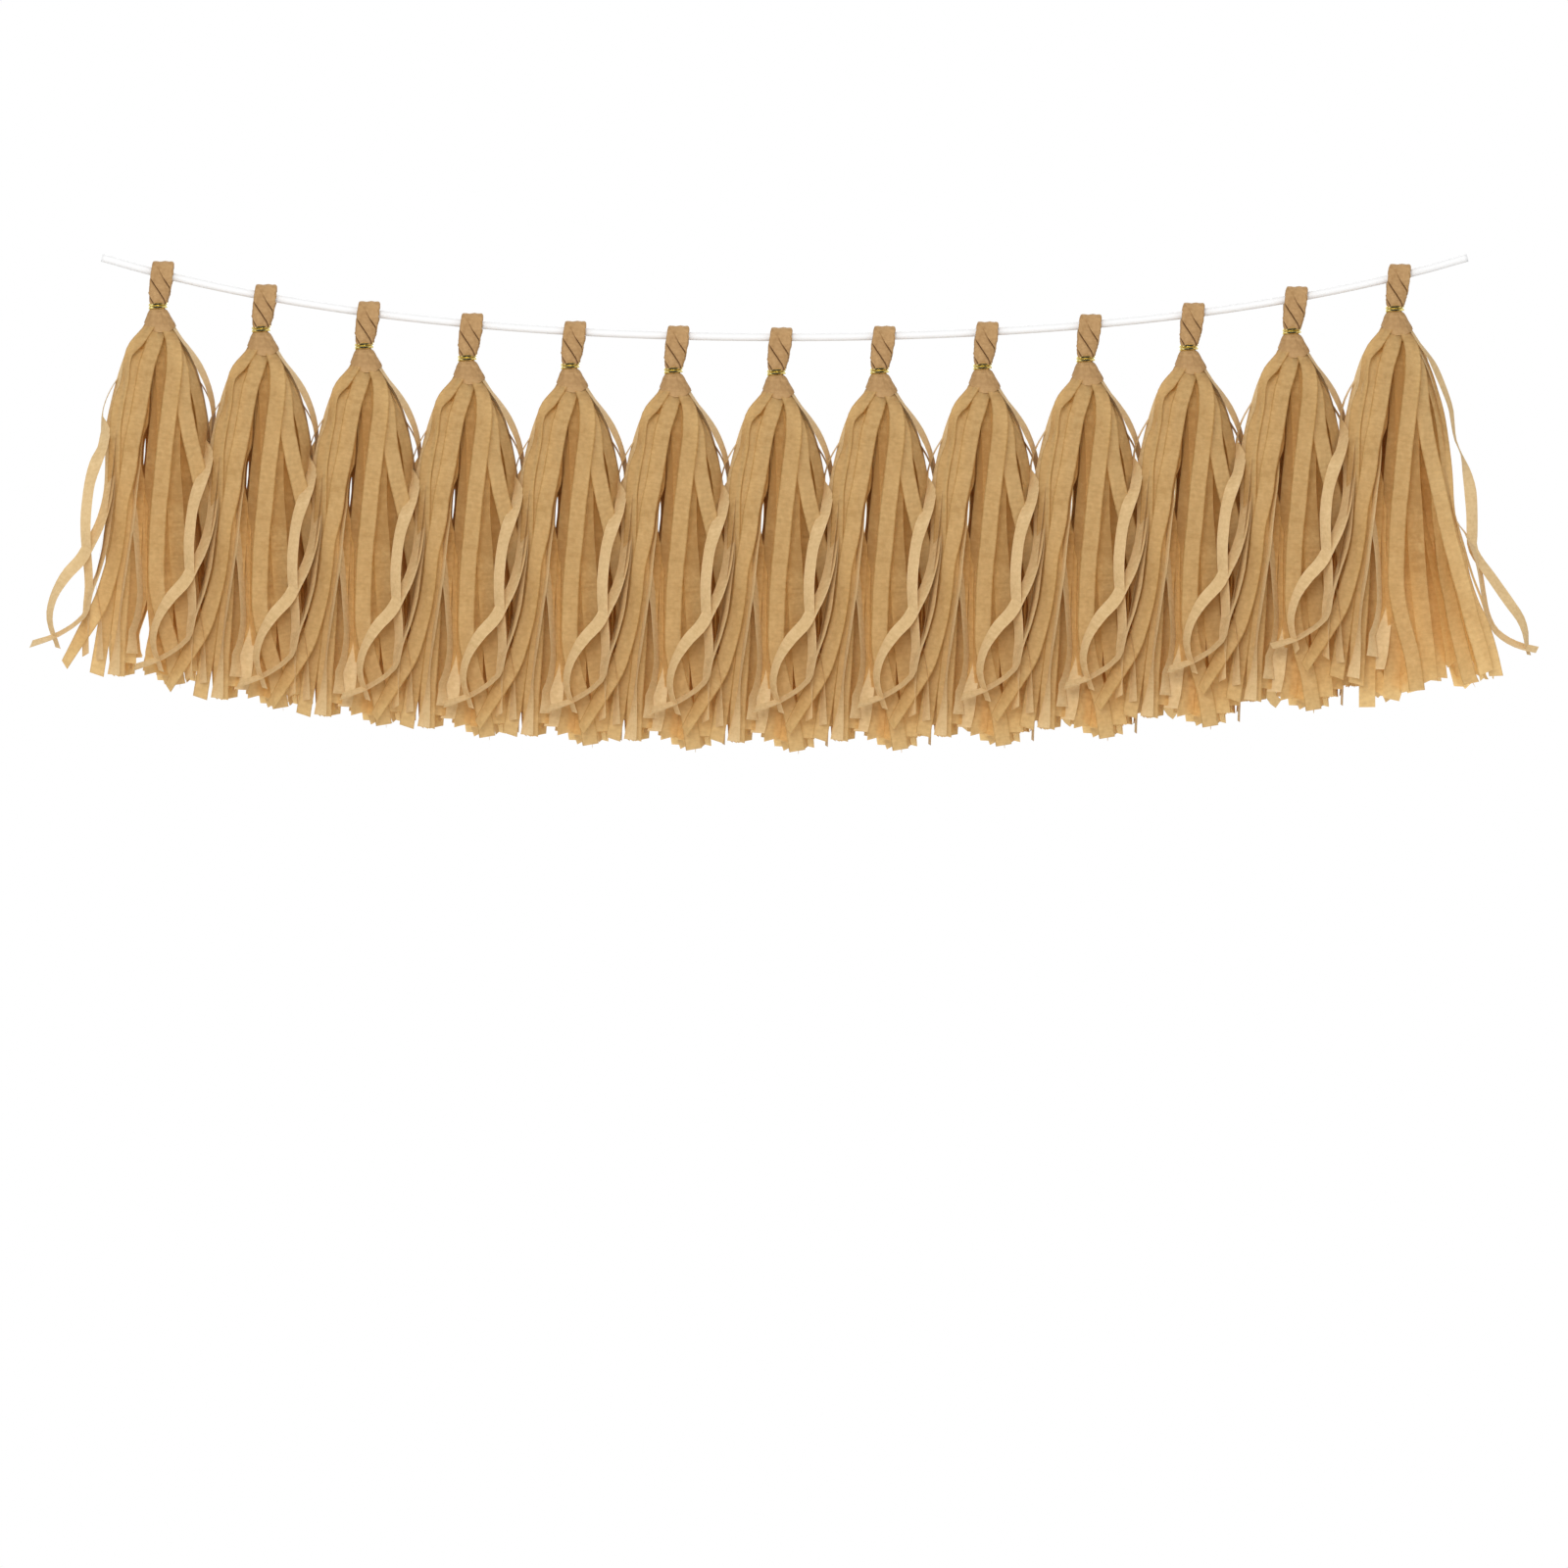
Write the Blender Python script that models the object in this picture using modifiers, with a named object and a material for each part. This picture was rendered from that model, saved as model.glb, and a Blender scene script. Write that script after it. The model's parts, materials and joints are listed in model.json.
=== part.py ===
"""A tissue paper tassel garland, in metres with +Z up.

Thirteen tassels hang in a row on one round cord. Each tassel is a stack of tissue, cut into strips at
both ends, gathered and twisted in its middle and doubled over the cord. Two turns of gold wire bind the
twisted head, and below them the two cut ends of the tissue hang as a front and a back fringe.
The origin is the centre of the cord's left cut end. +X runs to its right end and the front faces -Y.
"""
import math
import random

import bmesh
import bpy
import numpy as np

# The row and its cord
TASSEL_COUNT = 13
TASSEL_PITCH = 0.0631
FIRST_TASSEL = 0.036
LAST_TASSEL = 0.0428
CORD_SAG = 0.0487
CORD_DIAMETER = 0.0048
# the cord's free stretch, as shares of its span and of its sag, from its left end to its right
CORD_ROUTE_SHARES = (
    (0.0, 0.0),
    (0.125, 0.504),
    (0.25, 0.8),
    (0.375, 0.953),
    (0.5, 1.0),
    (0.625, 0.953),
    (0.75, 0.8),
    (0.875, 0.504),
    (1.0, 0.0),
)
CORD_CURVE_DEGREE = 4
CORD_STEP_IN_DIAMETERS = 2.8

# Space left between neighbouring solids
CLEARANCE = 0.0003

# The twisted head, from its top down to the wire
HEAD_WIDTH = 0.0132
HEAD_WALL = 0.0034
HEAD_DROP = 0.0275
HEAD_LEAN = 0.0027
HEAD_WAIST_WIDTH = 0.0108
HEAD_WAIST_DEPTH = 0.0094
TWIST_RIDGE = 0.0003
TWIST_TURN_STEPS = 0.5
NECK_DIAMETER = 0.0076
ROUND_SQUARENESS = 2.0
WAIST_SQUARENESS = 2.5
# how far up the waist is, from the neck's top to the first section below
WAIST_HEIGHT_SHARE = 0.3
# the head's sections, from below the eye to its top: height and half depth as shares of the height of
# the head's top above the eye's centre, half width as a share of the head's, and how square each is
HEAD_SECTION_SHARES = (
    (-1.05, 0.92, 0.88, 3.0),
    (0.0, 1.0, 1.0, 4.0),
    (0.55, 1.0, 0.84, 4.0),
    (0.87, 1.0, 0.5, 4.0),
    (1.0, 0.97, 0.22, 3.0),
)

# The gold wire
WIRE_DIAMETER = 0.0015
WIRE_TURNS = 2
WIRE_TURN_GAP = 0.00045
WIRE_TURN_POINTS = 10

# The two fringes: nested plies of tissue, each cut into strips below the shoulder
PLY_STRIPS = (4, 3, 3)
PLY_REACH_SHARES = (1.0, 0.79, 0.55)
TISSUE_THICKNESS = 0.0004
PLY_GAP = 0.0003
SHOULDER_HEIGHT = 0.0125
SHOULDER_RADIUS = 0.0108
SHOULDER_PLY_GAP = 0.0007
SHOULDER_SWELL_SHARES = (0.45, 0.6)
STRIP_WIDTH = 0.010
STRIP_LENGTH = 0.212
STRIP_LENGTH_SPREAD = 0.02
# how far down its length a strip is, and how much of its ply's full reach it has there
STRIP_FLARE_SHARES = ((0.09, 0.72), (0.2, 1.0), (1.0, 0.98))
STRIP_WANDER = 0.0007
STRIP_DRIFT_ANGLE = math.radians(5)
STRIP_TURN_ANGLE = math.radians(9)
NEIGHBOUR_GAP = 0.0012
STRIP_SEED = 31

# Loose strips at the two ends of the row, which have no neighbour to keep clear of
STRAY_REACH_LEFT = 0.046
STRAY_REACH_RIGHT = 0.054
# how much of the stray reach a strip has at each of the three levels below the shoulder
STRAY_SHARES = (0.0, 0.25, 1.0)
STRAY_STRIP_SHARES = (1.0, 0.62, 0.3)

# Colours as linear RGB
TISSUE_COLOUR = (0.49, 0.31, 0.13)
GOLD_COLOUR = (0.85, 0.62, 0.12)
CORD_COLOUR = (0.93, 0.93, 0.93)

EYE_SIDES = 16
HEAD_SIDES = 12
CORD_SPAN = FIRST_TASSEL + (TASSEL_COUNT - 1) * TASSEL_PITCH + LAST_TASSEL


def clear_scene():
    for scene_object in list(bpy.data.objects):
        bpy.data.objects.remove(scene_object, do_unlink=True)


def new_collection(name):
    collection = bpy.data.collections.new(name)
    bpy.context.scene.collection.children.link(collection)
    return collection


def new_material(name, colour, roughness, metallic):
    material = bpy.data.materials.new(name)
    material.use_nodes = True
    shader = material.node_tree.nodes["Principled BSDF"]
    shader.inputs["Base Color"].default_value = (*colour, 1.0)
    shader.inputs["Roughness"].default_value = roughness
    shader.inputs["Metallic"].default_value = metallic
    material.diffuse_color = (*colour, 1.0)
    return material


def add_object(name, data, collection, parent=None):
    """Put mesh or curve data in the scene, at its parent's place."""
    new_object = bpy.data.objects.new(name, data)
    collection.objects.link(new_object)
    new_object.parent = parent
    return new_object


def cord_curve():
    """Give the smooth curve through the route's points: height as a polynomial of x."""
    route = np.array(CORD_ROUTE_SHARES) * (CORD_SPAN, -CORD_SAG)
    return np.poly1d(np.polyfit(route[:, 0], route[:, 1], CORD_CURVE_DEGREE))


def cord_points(height):
    """Walk along the curve and set points at equal steps of x."""
    slope_length = math.hypot(CORD_SPAN, CORD_SAG)
    steps = round(slope_length / (CORD_STEP_IN_DIAMETERS * CORD_DIAMETER))
    start_height = height(0.0)
    return [(x, 0.0, height(x) - start_height) for x in np.linspace(0.0, CORD_SPAN, steps + 1)]


def tube_curve(name, points, diameter, resolution, material):
    """Make a tube of one diameter along a run of points, closed by flat caps."""
    curve = bpy.data.curves.new(name, "CURVE")
    curve.dimensions = "3D"
    spline = curve.splines.new("POLY")
    spline.points.add(len(points) - 1)
    for spline_point, place in zip(spline.points, points):
        spline_point.co = (*place, 1.0)
    curve.bevel_depth = diameter / 2
    curve.bevel_resolution = resolution
    curve.use_fill_caps = True
    curve.materials.append(material)
    return curve


def cord_rise(slope):
    """Give how far the top and bottom of the sloping cord lie from its centre within a head's width."""
    return HEAD_WIDTH / 2 * abs(slope) + CORD_DIAMETER / 2 * math.hypot(1.0, slope)


def eye_radius(slopes):
    """Size the eye so that the steepest stretch of cord passes through it."""
    return max(cord_rise(slope) for slope in slopes) + CLEARANCE


def wire_pitch():
    return WIRE_DIAMETER + WIRE_TURN_GAP


def neck_half_height():
    """Half the height of the straight neck that the wire is wound on."""
    return (WIRE_TURNS * wire_pitch() + WIRE_DIAMETER) / 2 + CLEARANCE


def wire_height(eye):
    """Give the height of the wire's middle above the eye's centre, which is below zero."""
    return eye + HEAD_WALL - HEAD_DROP


def head_lean(height):
    """Give how far the leaning head is from the eye's centre, at a height above it."""
    return HEAD_LEAN * height / HEAD_DROP


def head_sections(eye):
    """List the head's sections from the neck up: height, half width, half depth, squareness."""
    top = eye + HEAD_WALL
    wire = wire_height(eye)
    neck_top = wire + neck_half_height()
    neck = NECK_DIAMETER / 2
    waist = neck_top + (top * HEAD_SECTION_SHARES[0][0] - neck_top) * WAIST_HEIGHT_SHARE
    sections = [
        (wire - neck_half_height(), neck, neck, ROUND_SQUARENESS),
        (neck_top, neck, neck, ROUND_SQUARENESS),
        (waist, HEAD_WAIST_WIDTH / 2, HEAD_WAIST_DEPTH / 2, WAIST_SQUARENESS),
    ]
    for up_share, width_share, depth_share, squareness in HEAD_SECTION_SHARES:
        sections.append((top * up_share, HEAD_WIDTH / 2 * width_share, top * depth_share, squareness))
    return sections


def rounded_section(half_width, half_depth, squareness, shift, ridge):
    """Give the points of a rounded section, with every second one raised into a ridge."""
    points = []
    for side in range(HEAD_SIDES):
        angle = 2 * math.pi * (side + shift) / HEAD_SIDES
        across = math.copysign(abs(math.cos(angle)) ** (2 / squareness), math.cos(angle))
        along = math.copysign(abs(math.sin(angle)) ** (2 / squareness), math.sin(angle))
        lift = -ridge if side % 2 else 0.0
        points.append((across * (half_width + lift), along * (half_depth + lift)))
    return points


def head_mesh(eye, material):
    """Loft the twisted head from its neck to its top."""
    neck_top = wire_height(eye) + neck_half_height()
    head = bmesh.new()
    rings = []
    for number, (height, half_width, half_depth, squareness) in enumerate(head_sections(eye)):
        ridge = TWIST_RIDGE if height > neck_top else 0.0
        section = rounded_section(half_width, half_depth, squareness, number * TWIST_TURN_STEPS, ridge)
        lean = head_lean(max(height, neck_top))
        rings.append([head.verts.new((x + lean, y, height)) for x, y in section])
    for lower, upper in zip(rings, rings[1:]):
        for side in range(HEAD_SIDES):
            after = (side + 1) % HEAD_SIDES
            head.faces.new((lower[side], lower[after], upper[after], upper[side]))
    head.faces.new(list(reversed(rings[0])))
    head.faces.new(rings[-1])
    return finish_mesh(head, "tassel_head", material)


def finish_mesh(source, name, material):
    mesh = bpy.data.meshes.new(name)
    bmesh.ops.recalc_face_normals(source, faces=source.faces)
    source.to_mesh(mesh)
    source.free()
    mesh.materials.append(material)
    return mesh


def eye_cutter(name, eye, collection, pivot):
    """Make the round cutter for a head's eye, along X through its centre."""
    bpy.ops.mesh.primitive_cylinder_add(
        vertices=EYE_SIDES, radius=eye / math.cos(math.pi / EYE_SIDES), depth=HEAD_WIDTH * 2
    )
    cutter = bpy.context.object
    cutter.name = name
    for owner in list(cutter.users_collection):
        owner.objects.unlink(cutter)
    collection.objects.link(cutter)
    cutter.rotation_euler = (0.0, math.pi / 2, 0.0)
    cutter.parent = pivot
    cutter.hide_render = True
    cutter.display_type = "WIRE"
    return cutter


def wire_points(eye):
    """Wind the wire round the neck, from one end at the back to the other."""
    reach = NECK_DIAMETER / 2 + CLEARANCE + WIRE_DIAMETER / 2
    radius = reach / math.cos(math.pi / WIRE_TURN_POINTS)
    middle = wire_height(eye)
    steps = WIRE_TURNS * WIRE_TURN_POINTS
    centre = head_lean(middle + neck_half_height())
    points = []
    for step in range(steps + 1):
        turns = step / WIRE_TURN_POINTS
        angle = math.pi / 2 + 2 * math.pi * turns
        height = middle + (turns - WIRE_TURNS / 2) * wire_pitch()
        points.append((centre + radius * math.cos(angle), radius * math.sin(angle), height))
    return points


def least_turn_gap(points):
    """Measure the least space between the wire and itself, half a turn or more along it."""
    apart = WIRE_TURN_POINTS // 2
    distances = []
    for first in range(len(points)):
        for second in range(first + apart, len(points)):
            distances.append(math.dist(points[first], points[second]))
    return min(distances) - WIRE_DIAMETER


def nested_radii(outer, gap):
    """Give each ply's corner radius, so that it fits inside the flats of the ply around it."""
    radii = [outer]
    for strips in PLY_STRIPS[:-1]:
        flat = radii[-1] * math.cos(math.pi / (2 * strips))
        radii.append(flat - TISSUE_THICKNESS - gap)
    return radii


def shoulder_rows():
    """List the shoulder's rows from its neck to its cuts: how far down, and each ply's corner radius."""
    down_share, swell_share = SHOULDER_SWELL_SHARES
    neck = NECK_DIAMETER / 2
    swell = neck + (SHOULDER_RADIUS - neck) * swell_share
    swell_gap = PLY_GAP + (SHOULDER_PLY_GAP - PLY_GAP) * swell_share
    return (
        (0.0, nested_radii(neck, PLY_GAP)),
        (SHOULDER_HEIGHT * down_share, nested_radii(swell, swell_gap)),
        (SHOULDER_HEIGHT, nested_radii(SHOULDER_RADIUS, SHOULDER_PLY_GAP)),
    )


def full_reach():
    """Give the radius at which the outer strips hang, clear of the next tassel's."""
    corner = (TASSEL_PITCH - NEIGHBOUR_GAP - TISSUE_THICKNESS) / 2 - STRIP_WANDER
    return math.sqrt(corner**2 - (STRIP_WIDTH / 2) ** 2)


def strip_levels(ply, slot, chooser):
    """Work out where one strip's two edges run below the shoulder, as (left, right) corner pairs."""
    middle_angle = math.pi * (slot + 0.5) / PLY_STRIPS[ply]
    drift = chooser.uniform(-STRIP_DRIFT_ANGLE, STRIP_DRIFT_ANGLE)
    turn = chooser.uniform(-STRIP_TURN_ANGLE, STRIP_TURN_ANGLE)
    wander = chooser.uniform(-STRIP_WANDER, STRIP_WANDER)
    length = STRIP_LENGTH + chooser.uniform(-STRIP_LENGTH_SPREAD, STRIP_LENGTH_SPREAD) / 2
    levels = []
    for down_share, reach_share in STRIP_FLARE_SHARES:
        radius = full_reach() * PLY_REACH_SHARES[ply] * reach_share + wander
        angle = middle_angle + drift * down_share
        facing = angle + math.pi / 2 + turn * down_share
        centre = (radius * math.cos(angle), radius * math.sin(angle))
        half = (STRIP_WIDTH / 2 * math.cos(facing), STRIP_WIDTH / 2 * math.sin(facing))
        before = (centre[0] - half[0], centre[1] - half[1])
        after = (centre[0] + half[0], centre[1] + half[1])
        levels.append((SHOULDER_HEIGHT + length * down_share, before, after))
    return levels


def stray_offset(ply, slot, level, stray_reach):
    """Give how far a loose strip at the row's end leans out past its place in the tassel."""
    free_slot = 0 if stray_reach > 0 else PLY_STRIPS[ply] - 1
    if slot != free_slot:
        return 0.0
    return stray_reach * STRAY_STRIP_SHARES[ply] * STRAY_SHARES[level]


def fringe_mesh(name, side, stray_reach, material):
    """Build one cut end of the tissue as an open sheet: a gathered shoulder and its hanging strips.

    The sheet runs back and forth in nested plies, from the outer one to the inner one, and is cut into
    strips below the shoulder. side is -1 for the front fringe and 1 for the back one.
    """
    chooser = random.Random(STRIP_SEED)
    fringe = bmesh.new()
    seam = (CLEARANCE + TISSUE_THICKNESS) / 2

    def corner(across, out, down):
        return fringe.verts.new((across, side * (out + seam), -down))

    ply_edges = []
    for ply, strips in enumerate(PLY_STRIPS):
        columns = []
        for down, radii in shoulder_rows():
            angles = [math.pi * slot / strips for slot in range(strips + 1)]
            columns.append([corner(radii[ply] * math.cos(a), radii[ply] * math.sin(a), down) for a in angles])
        for upper, lower in zip(columns, columns[1:]):
            for slot in range(strips):
                fringe.faces.new((upper[slot], upper[slot + 1], lower[slot + 1], lower[slot]))
        for slot in range(strips):
            before, after = columns[-1][slot], columns[-1][slot + 1]
            for level, (down, near, far) in enumerate(strip_levels(ply, slot, chooser)):
                lean = stray_offset(ply, slot, level, stray_reach) if stray_reach else 0.0
                next_before = corner(near[0] + lean, near[1], down)
                next_after = corner(far[0] + lean, far[1], down)
                fringe.faces.new((before, after, next_after, next_before))
                before, after = next_before, next_after
        ply_edges.append(columns)
    for ply in range(len(PLY_STRIPS) - 1):
        join_plies(fringe, ply_edges[ply], ply_edges[ply + 1], last_slot=ply % 2 == 0)
    return finish_mesh(fringe, name, material)


def join_plies(fringe, outer_rows, inner_rows, last_slot):
    """Fold the sheet from one ply into the next, at alternate sides."""
    edge = -1 if last_slot else 0
    outer = [row[edge] for row in outer_rows]
    inner = [row[edge] for row in inner_rows]
    for row in range(len(outer) - 1):
        fringe.faces.new((outer[row], inner[row], inner[row + 1], outer[row + 1]))


def fringe_object(name, mesh, collection, pivot, eye):
    """Hang a fringe sheet under its head and give it its thickness."""
    fringe = add_object(name, mesh, collection, pivot)
    wire = wire_height(eye)
    neck_bottom = wire - neck_half_height()
    fringe.location = (head_lean(wire + neck_half_height()), 0.0, neck_bottom - CLEARANCE)
    thickness = fringe.modifiers.new("tissue_thickness", "SOLIDIFY")
    thickness.thickness = TISSUE_THICKNESS
    thickness.offset = 0.0
    return fringe


def tassel_place(number, height):
    """Give a tassel's x, and the height of its eye's centre, so that its head rests on the cord."""
    x = FIRST_TASSEL + number * TASSEL_PITCH
    return x, height(x) - height(0.0), height.deriv()(x)


def stray_reach_of(number):
    if number == 0:
        return -STRAY_REACH_LEFT
    if number == TASSEL_COUNT - 1:
        return STRAY_REACH_RIGHT
    return 0.0


def build_garland():
    clear_scene()
    parts = new_collection("tissue_tassel_garland")
    cutters = new_collection("cutters")
    tissue = new_material("tan_tissue_paper", TISSUE_COLOUR, 0.85, 0.0)
    gold = new_material("gold_wire", GOLD_COLOUR, 0.3, 1.0)
    white = new_material("white_cord", CORD_COLOUR, 0.6, 0.0)

    height = cord_curve()
    cord = tube_curve("hanging_cord", cord_points(height), CORD_DIAMETER, 2, white)
    add_object("hanging_cord", cord, parts)

    places = [tassel_place(number, height) for number in range(TASSEL_COUNT)]
    eye = eye_radius([slope for _, _, slope in places])
    head = head_mesh(eye, tissue)
    winding = wire_points(eye)
    print(f"least gap between the wire's turns: {least_turn_gap(winding) * 1000:.2f} mm")
    wire = tube_curve("gold_wire", winding, WIRE_DIAMETER, 1, gold)
    sheets = {}
    for number, (x, cord_height, slope) in enumerate(places):
        name = f"tassel_{number + 1:02d}"
        pivot = add_object(f"{name}_pivot", None, parts)
        pivot.location = (x, 0.0, cord_height - (eye - CLEARANCE - cord_rise(slope)))
        loop = add_object(f"{name}_loop", head, parts, pivot)
        cut = loop.modifiers.new("eye", "BOOLEAN")
        cut.operation = "DIFFERENCE"
        cut.object = eye_cutter(f"{name}_eye_cutter", eye, cutters, pivot)
        add_object(f"{name}_tie", wire, parts, pivot)
        stray = stray_reach_of(number)
        for label, side in (("front", -1), ("back", 1)):
            if (side, stray) not in sheets:
                sheets[side, stray] = fringe_mesh(f"{label}_fringe", side, stray, tissue)
            fringe_object(f"{name}_{label}_fringe", sheets[side, stray], parts, pivot, eye)


build_garland()
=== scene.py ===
import json
import math
import random

import bpy
import numpy
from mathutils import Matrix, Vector, noise

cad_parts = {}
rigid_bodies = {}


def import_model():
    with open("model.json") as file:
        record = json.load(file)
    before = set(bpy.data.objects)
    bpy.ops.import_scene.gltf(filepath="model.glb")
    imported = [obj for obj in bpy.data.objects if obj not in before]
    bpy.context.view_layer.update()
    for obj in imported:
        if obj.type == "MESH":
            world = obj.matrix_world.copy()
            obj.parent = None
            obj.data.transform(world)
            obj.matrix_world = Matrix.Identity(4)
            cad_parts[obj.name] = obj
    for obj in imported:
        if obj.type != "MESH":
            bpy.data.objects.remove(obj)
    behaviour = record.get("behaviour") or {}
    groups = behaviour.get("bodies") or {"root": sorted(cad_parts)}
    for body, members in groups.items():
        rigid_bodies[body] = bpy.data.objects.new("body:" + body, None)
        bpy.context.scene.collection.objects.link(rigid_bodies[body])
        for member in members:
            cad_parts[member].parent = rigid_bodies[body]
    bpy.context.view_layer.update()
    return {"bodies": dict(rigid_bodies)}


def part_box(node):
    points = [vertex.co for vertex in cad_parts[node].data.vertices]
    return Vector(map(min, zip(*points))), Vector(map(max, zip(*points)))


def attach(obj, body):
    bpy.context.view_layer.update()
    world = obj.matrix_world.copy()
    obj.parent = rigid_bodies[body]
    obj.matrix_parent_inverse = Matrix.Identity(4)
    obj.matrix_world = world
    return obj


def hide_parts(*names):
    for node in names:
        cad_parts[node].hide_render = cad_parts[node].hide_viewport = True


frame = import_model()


# The cord
# One length of soft white round cord, 4.8 mm thick and cut square at both ends.
# It hangs in a shallow curve from its two ends and carries the whole row.
MM = 0.001
CORD_DIAMETER = 4.8 * MM
CORD_SPAN = 0.836
CORD_SAG = 0.0487
CORD_CURVE_DEGREE = 4
# shares of the way along, and of the sag there
CORD_ROUTE_SHARES = [
    (0, 0), (0.125, 0.504), (0.25, 0.8), (0.375, 0.953), (0.5, 1), (0.625, 0.953), (0.75, 0.8),
    (0.875, 0.504), (1, 0),
]
CORD_ROUTE_POINTS = 33
CORD_RINGS = 360
CORD_SIDES = 24
CORD_WHITE = (0.83, 0.83, 0.83)
# threads a metre of the cord, how many there are round it, and how far they stand out
THREADS_A_METRE = 900.0
THREADS_ROUND = 9.0
THREAD_RELIEF = 0.03 * MM


def run_through(stations, count):
    """Give count points on a smooth curve through stations, evenly spaced along it."""
    rows = [list(station) for station in stations]
    places = [0.0]
    for before, after in zip(rows, rows[1:]):
        places.append(places[-1] + math.dist(before[:3], after[:3]))
    slopes = []
    for number in range(len(rows)):
        first = max(number - 1, 0)
        last = min(number + 1, len(rows) - 1)
        reach = places[last] - places[first]
        slopes.append([(b - a) / reach for a, b in zip(rows[first], rows[last])])
    points = []
    leg = 0
    for step in range(count):
        place = places[-1] * step / (count - 1)
        while leg < len(places) - 2 and place > places[leg + 1]:
            leg += 1
        span = places[leg + 1] - places[leg]
        t = (place - places[leg]) / span
        start, end = 2 * t**3 - 3 * t**2 + 1, 3 * t**2 - 2 * t**3
        leaving, arriving = (t**3 - 2 * t**2 + t) * span, (t**3 - t**2) * span
        points.append([
            start * a + leaving * slope_a + end * b + arriving * slope_b
            for a, slope_a, b, slope_b in zip(rows[leg], slopes[leg], rows[leg + 1], slopes[leg + 1])
        ])
    return points


def make_mesh(name, verts, faces, uvs, *materials):
    """Make a smooth mesh whose face corners take their UV from their vertex."""
    mesh = bpy.data.meshes.new(name)
    mesh.from_pydata(verts, [], faces)
    layer = mesh.uv_layers.new(name="paper")
    for loop in mesh.loops:
        layer.data[loop.index].uv = uvs[loop.vertex_index]
    mesh.shade_smooth()
    for material in materials:
        mesh.materials.append(material)
    return mesh


def join_grid(start, rows, columns, faces, closed=False):
    """Join rows of points into faces; closed rows run round a tube."""
    for row in range(rows - 1):
        for column in range(columns if closed else columns - 1):
            a = start + row * columns + column
            b = start + row * columns + (column + 1) % columns
            faces.append((a, b, b + columns, a + columns))


def make_tube(name, points, radius, sides, material):
    """Make a round tube along points, with flat ends.

    A ring's first point is above or below the tube's middle, or level with it where the tube runs nearly
    straight back.
    """
    nearly_back = 0.3
    verts, faces, uvs = [], [], []
    travelled = 0.0
    for number, point in enumerate(points):
        before = Vector(points[max(number - 1, 0)])
        after = Vector(points[min(number + 1, len(points) - 1)])
        ahead = (after - before).normalized()
        across = ahead.cross(Vector((0, 1, 0)))
        if across.length < nearly_back:
            across = ahead.cross(Vector((0, 0, 1)))
        across.normalize()
        upward = across.cross(ahead)
        if number:
            travelled += math.dist(points[number - 1], point)
        for side in range(sides):
            angle = 2 * math.pi * side / sides
            verts.append(Vector(point) + radius * (math.cos(angle) * across + math.sin(angle) * upward))
            uvs.append((side / sides, travelled))
    join_grid(0, len(points), sides, faces, closed=True)
    faces.append(tuple(reversed(range(sides))))
    faces.append(tuple(range(len(verts) - sides, len(verts))))
    return make_mesh(name, verts, faces, uvs, material)


def new_finish(name):
    """Start a material and give it with its tree and its main shader."""
    material = bpy.data.materials.new(name)
    material.use_nodes = True
    return material, material.node_tree, material.node_tree.nodes["Principled BSDF"]


def add_node(tree, kind, settings=None, **inputs):
    """Add a node. An input is named, or is i and its number, and takes a value or a link."""
    node = tree.nodes.new(kind)
    for key, value in (settings or {}).items():
        setattr(node, key, value)
    for key, value in inputs.items():
        socket = node.inputs[int(key[1:])] if key[1:].isdigit() else node.inputs[key]
        if isinstance(value, bpy.types.NodeSocket):
            tree.links.new(value, socket)
        else:
            socket.default_value = value
    return node


def work_out(tree, operation, *values, clamp=False):
    """Add a sum of one to three values or links, and give its result."""
    settings = {"operation": operation, "use_clamp": clamp}
    inputs = {f"i{number}": value for number, value in enumerate(values)}
    return add_node(tree, "ShaderNodeMath", settings, **inputs).outputs[0]


def cord_finish():
    """White cord: a soft skin of fine threads laid round it at a slant."""
    material, tree, shader = new_finish("white_cord")
    shader.inputs["Base Color"].default_value = (*CORD_WHITE, 1)
    shader.inputs["Roughness"].default_value = 0.6
    shader.inputs["Sheen Weight"].default_value = 0.1
    place = add_node(tree, "ShaderNodeTexCoord").outputs["UV"]
    parts = add_node(tree, "ShaderNodeSeparateXYZ", i0=place)
    along = work_out(tree, "MULTIPLY", parts.outputs["Y"], THREADS_A_METRE)
    slant = work_out(tree, "MULTIPLY_ADD", parts.outputs["X"], THREADS_ROUND, along)
    thread = work_out(tree, "SINE", work_out(tree, "MULTIPLY", slant, 2 * math.pi))
    bump = add_node(tree, "ShaderNodeBump", Strength=0.12, Distance=THREAD_RELIEF, Height=thread)
    tree.links.new(bump.outputs["Normal"], shader.inputs["Normal"])
    return material


drop_curve = numpy.polyfit(*zip(*CORD_ROUTE_SHARES), CORD_CURVE_DEGREE)
cord_route = []
for number in range(CORD_ROUTE_POINTS):
    share = number / (CORD_ROUTE_POINTS - 1)
    drop = CORD_SAG * float(numpy.polyval(drop_curve, share) - drop_curve[-1])
    cord_route.append((CORD_SPAN * share, 0.0, -drop))
cord_mesh = make_tube(
    "white_cord", run_through(cord_route, CORD_RINGS), CORD_DIAMETER / 2, CORD_SIDES, cord_finish()
)
cord = bpy.data.objects.new("white_cord", cord_mesh)
bpy.context.scene.collection.objects.link(cord)
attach(cord, "cord")
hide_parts("hanging_cord")


# The strips
# Each tassel is a pile of tan tissue paper, cut at both ends into strips 10 mm wide. The strips hang from
# the uncut band in the middle, each with its own slow turn, slight cupping and square-cut end.
STRIP_WIDTH = 10
# millimetres between the rows of its mesh, and a row's points as shares of half its width
STRIP_STEP = 4.6
STRIP_COLUMNS = (-1.0, -0.4, 0.4, 1.0)
# how far a strip waves in and out, how quickly along its length, and over what length that begins
STRIP_WAVE = 1.0
WAVE_PITCH = 0.034
WAVE_BEGINS = 70
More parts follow.
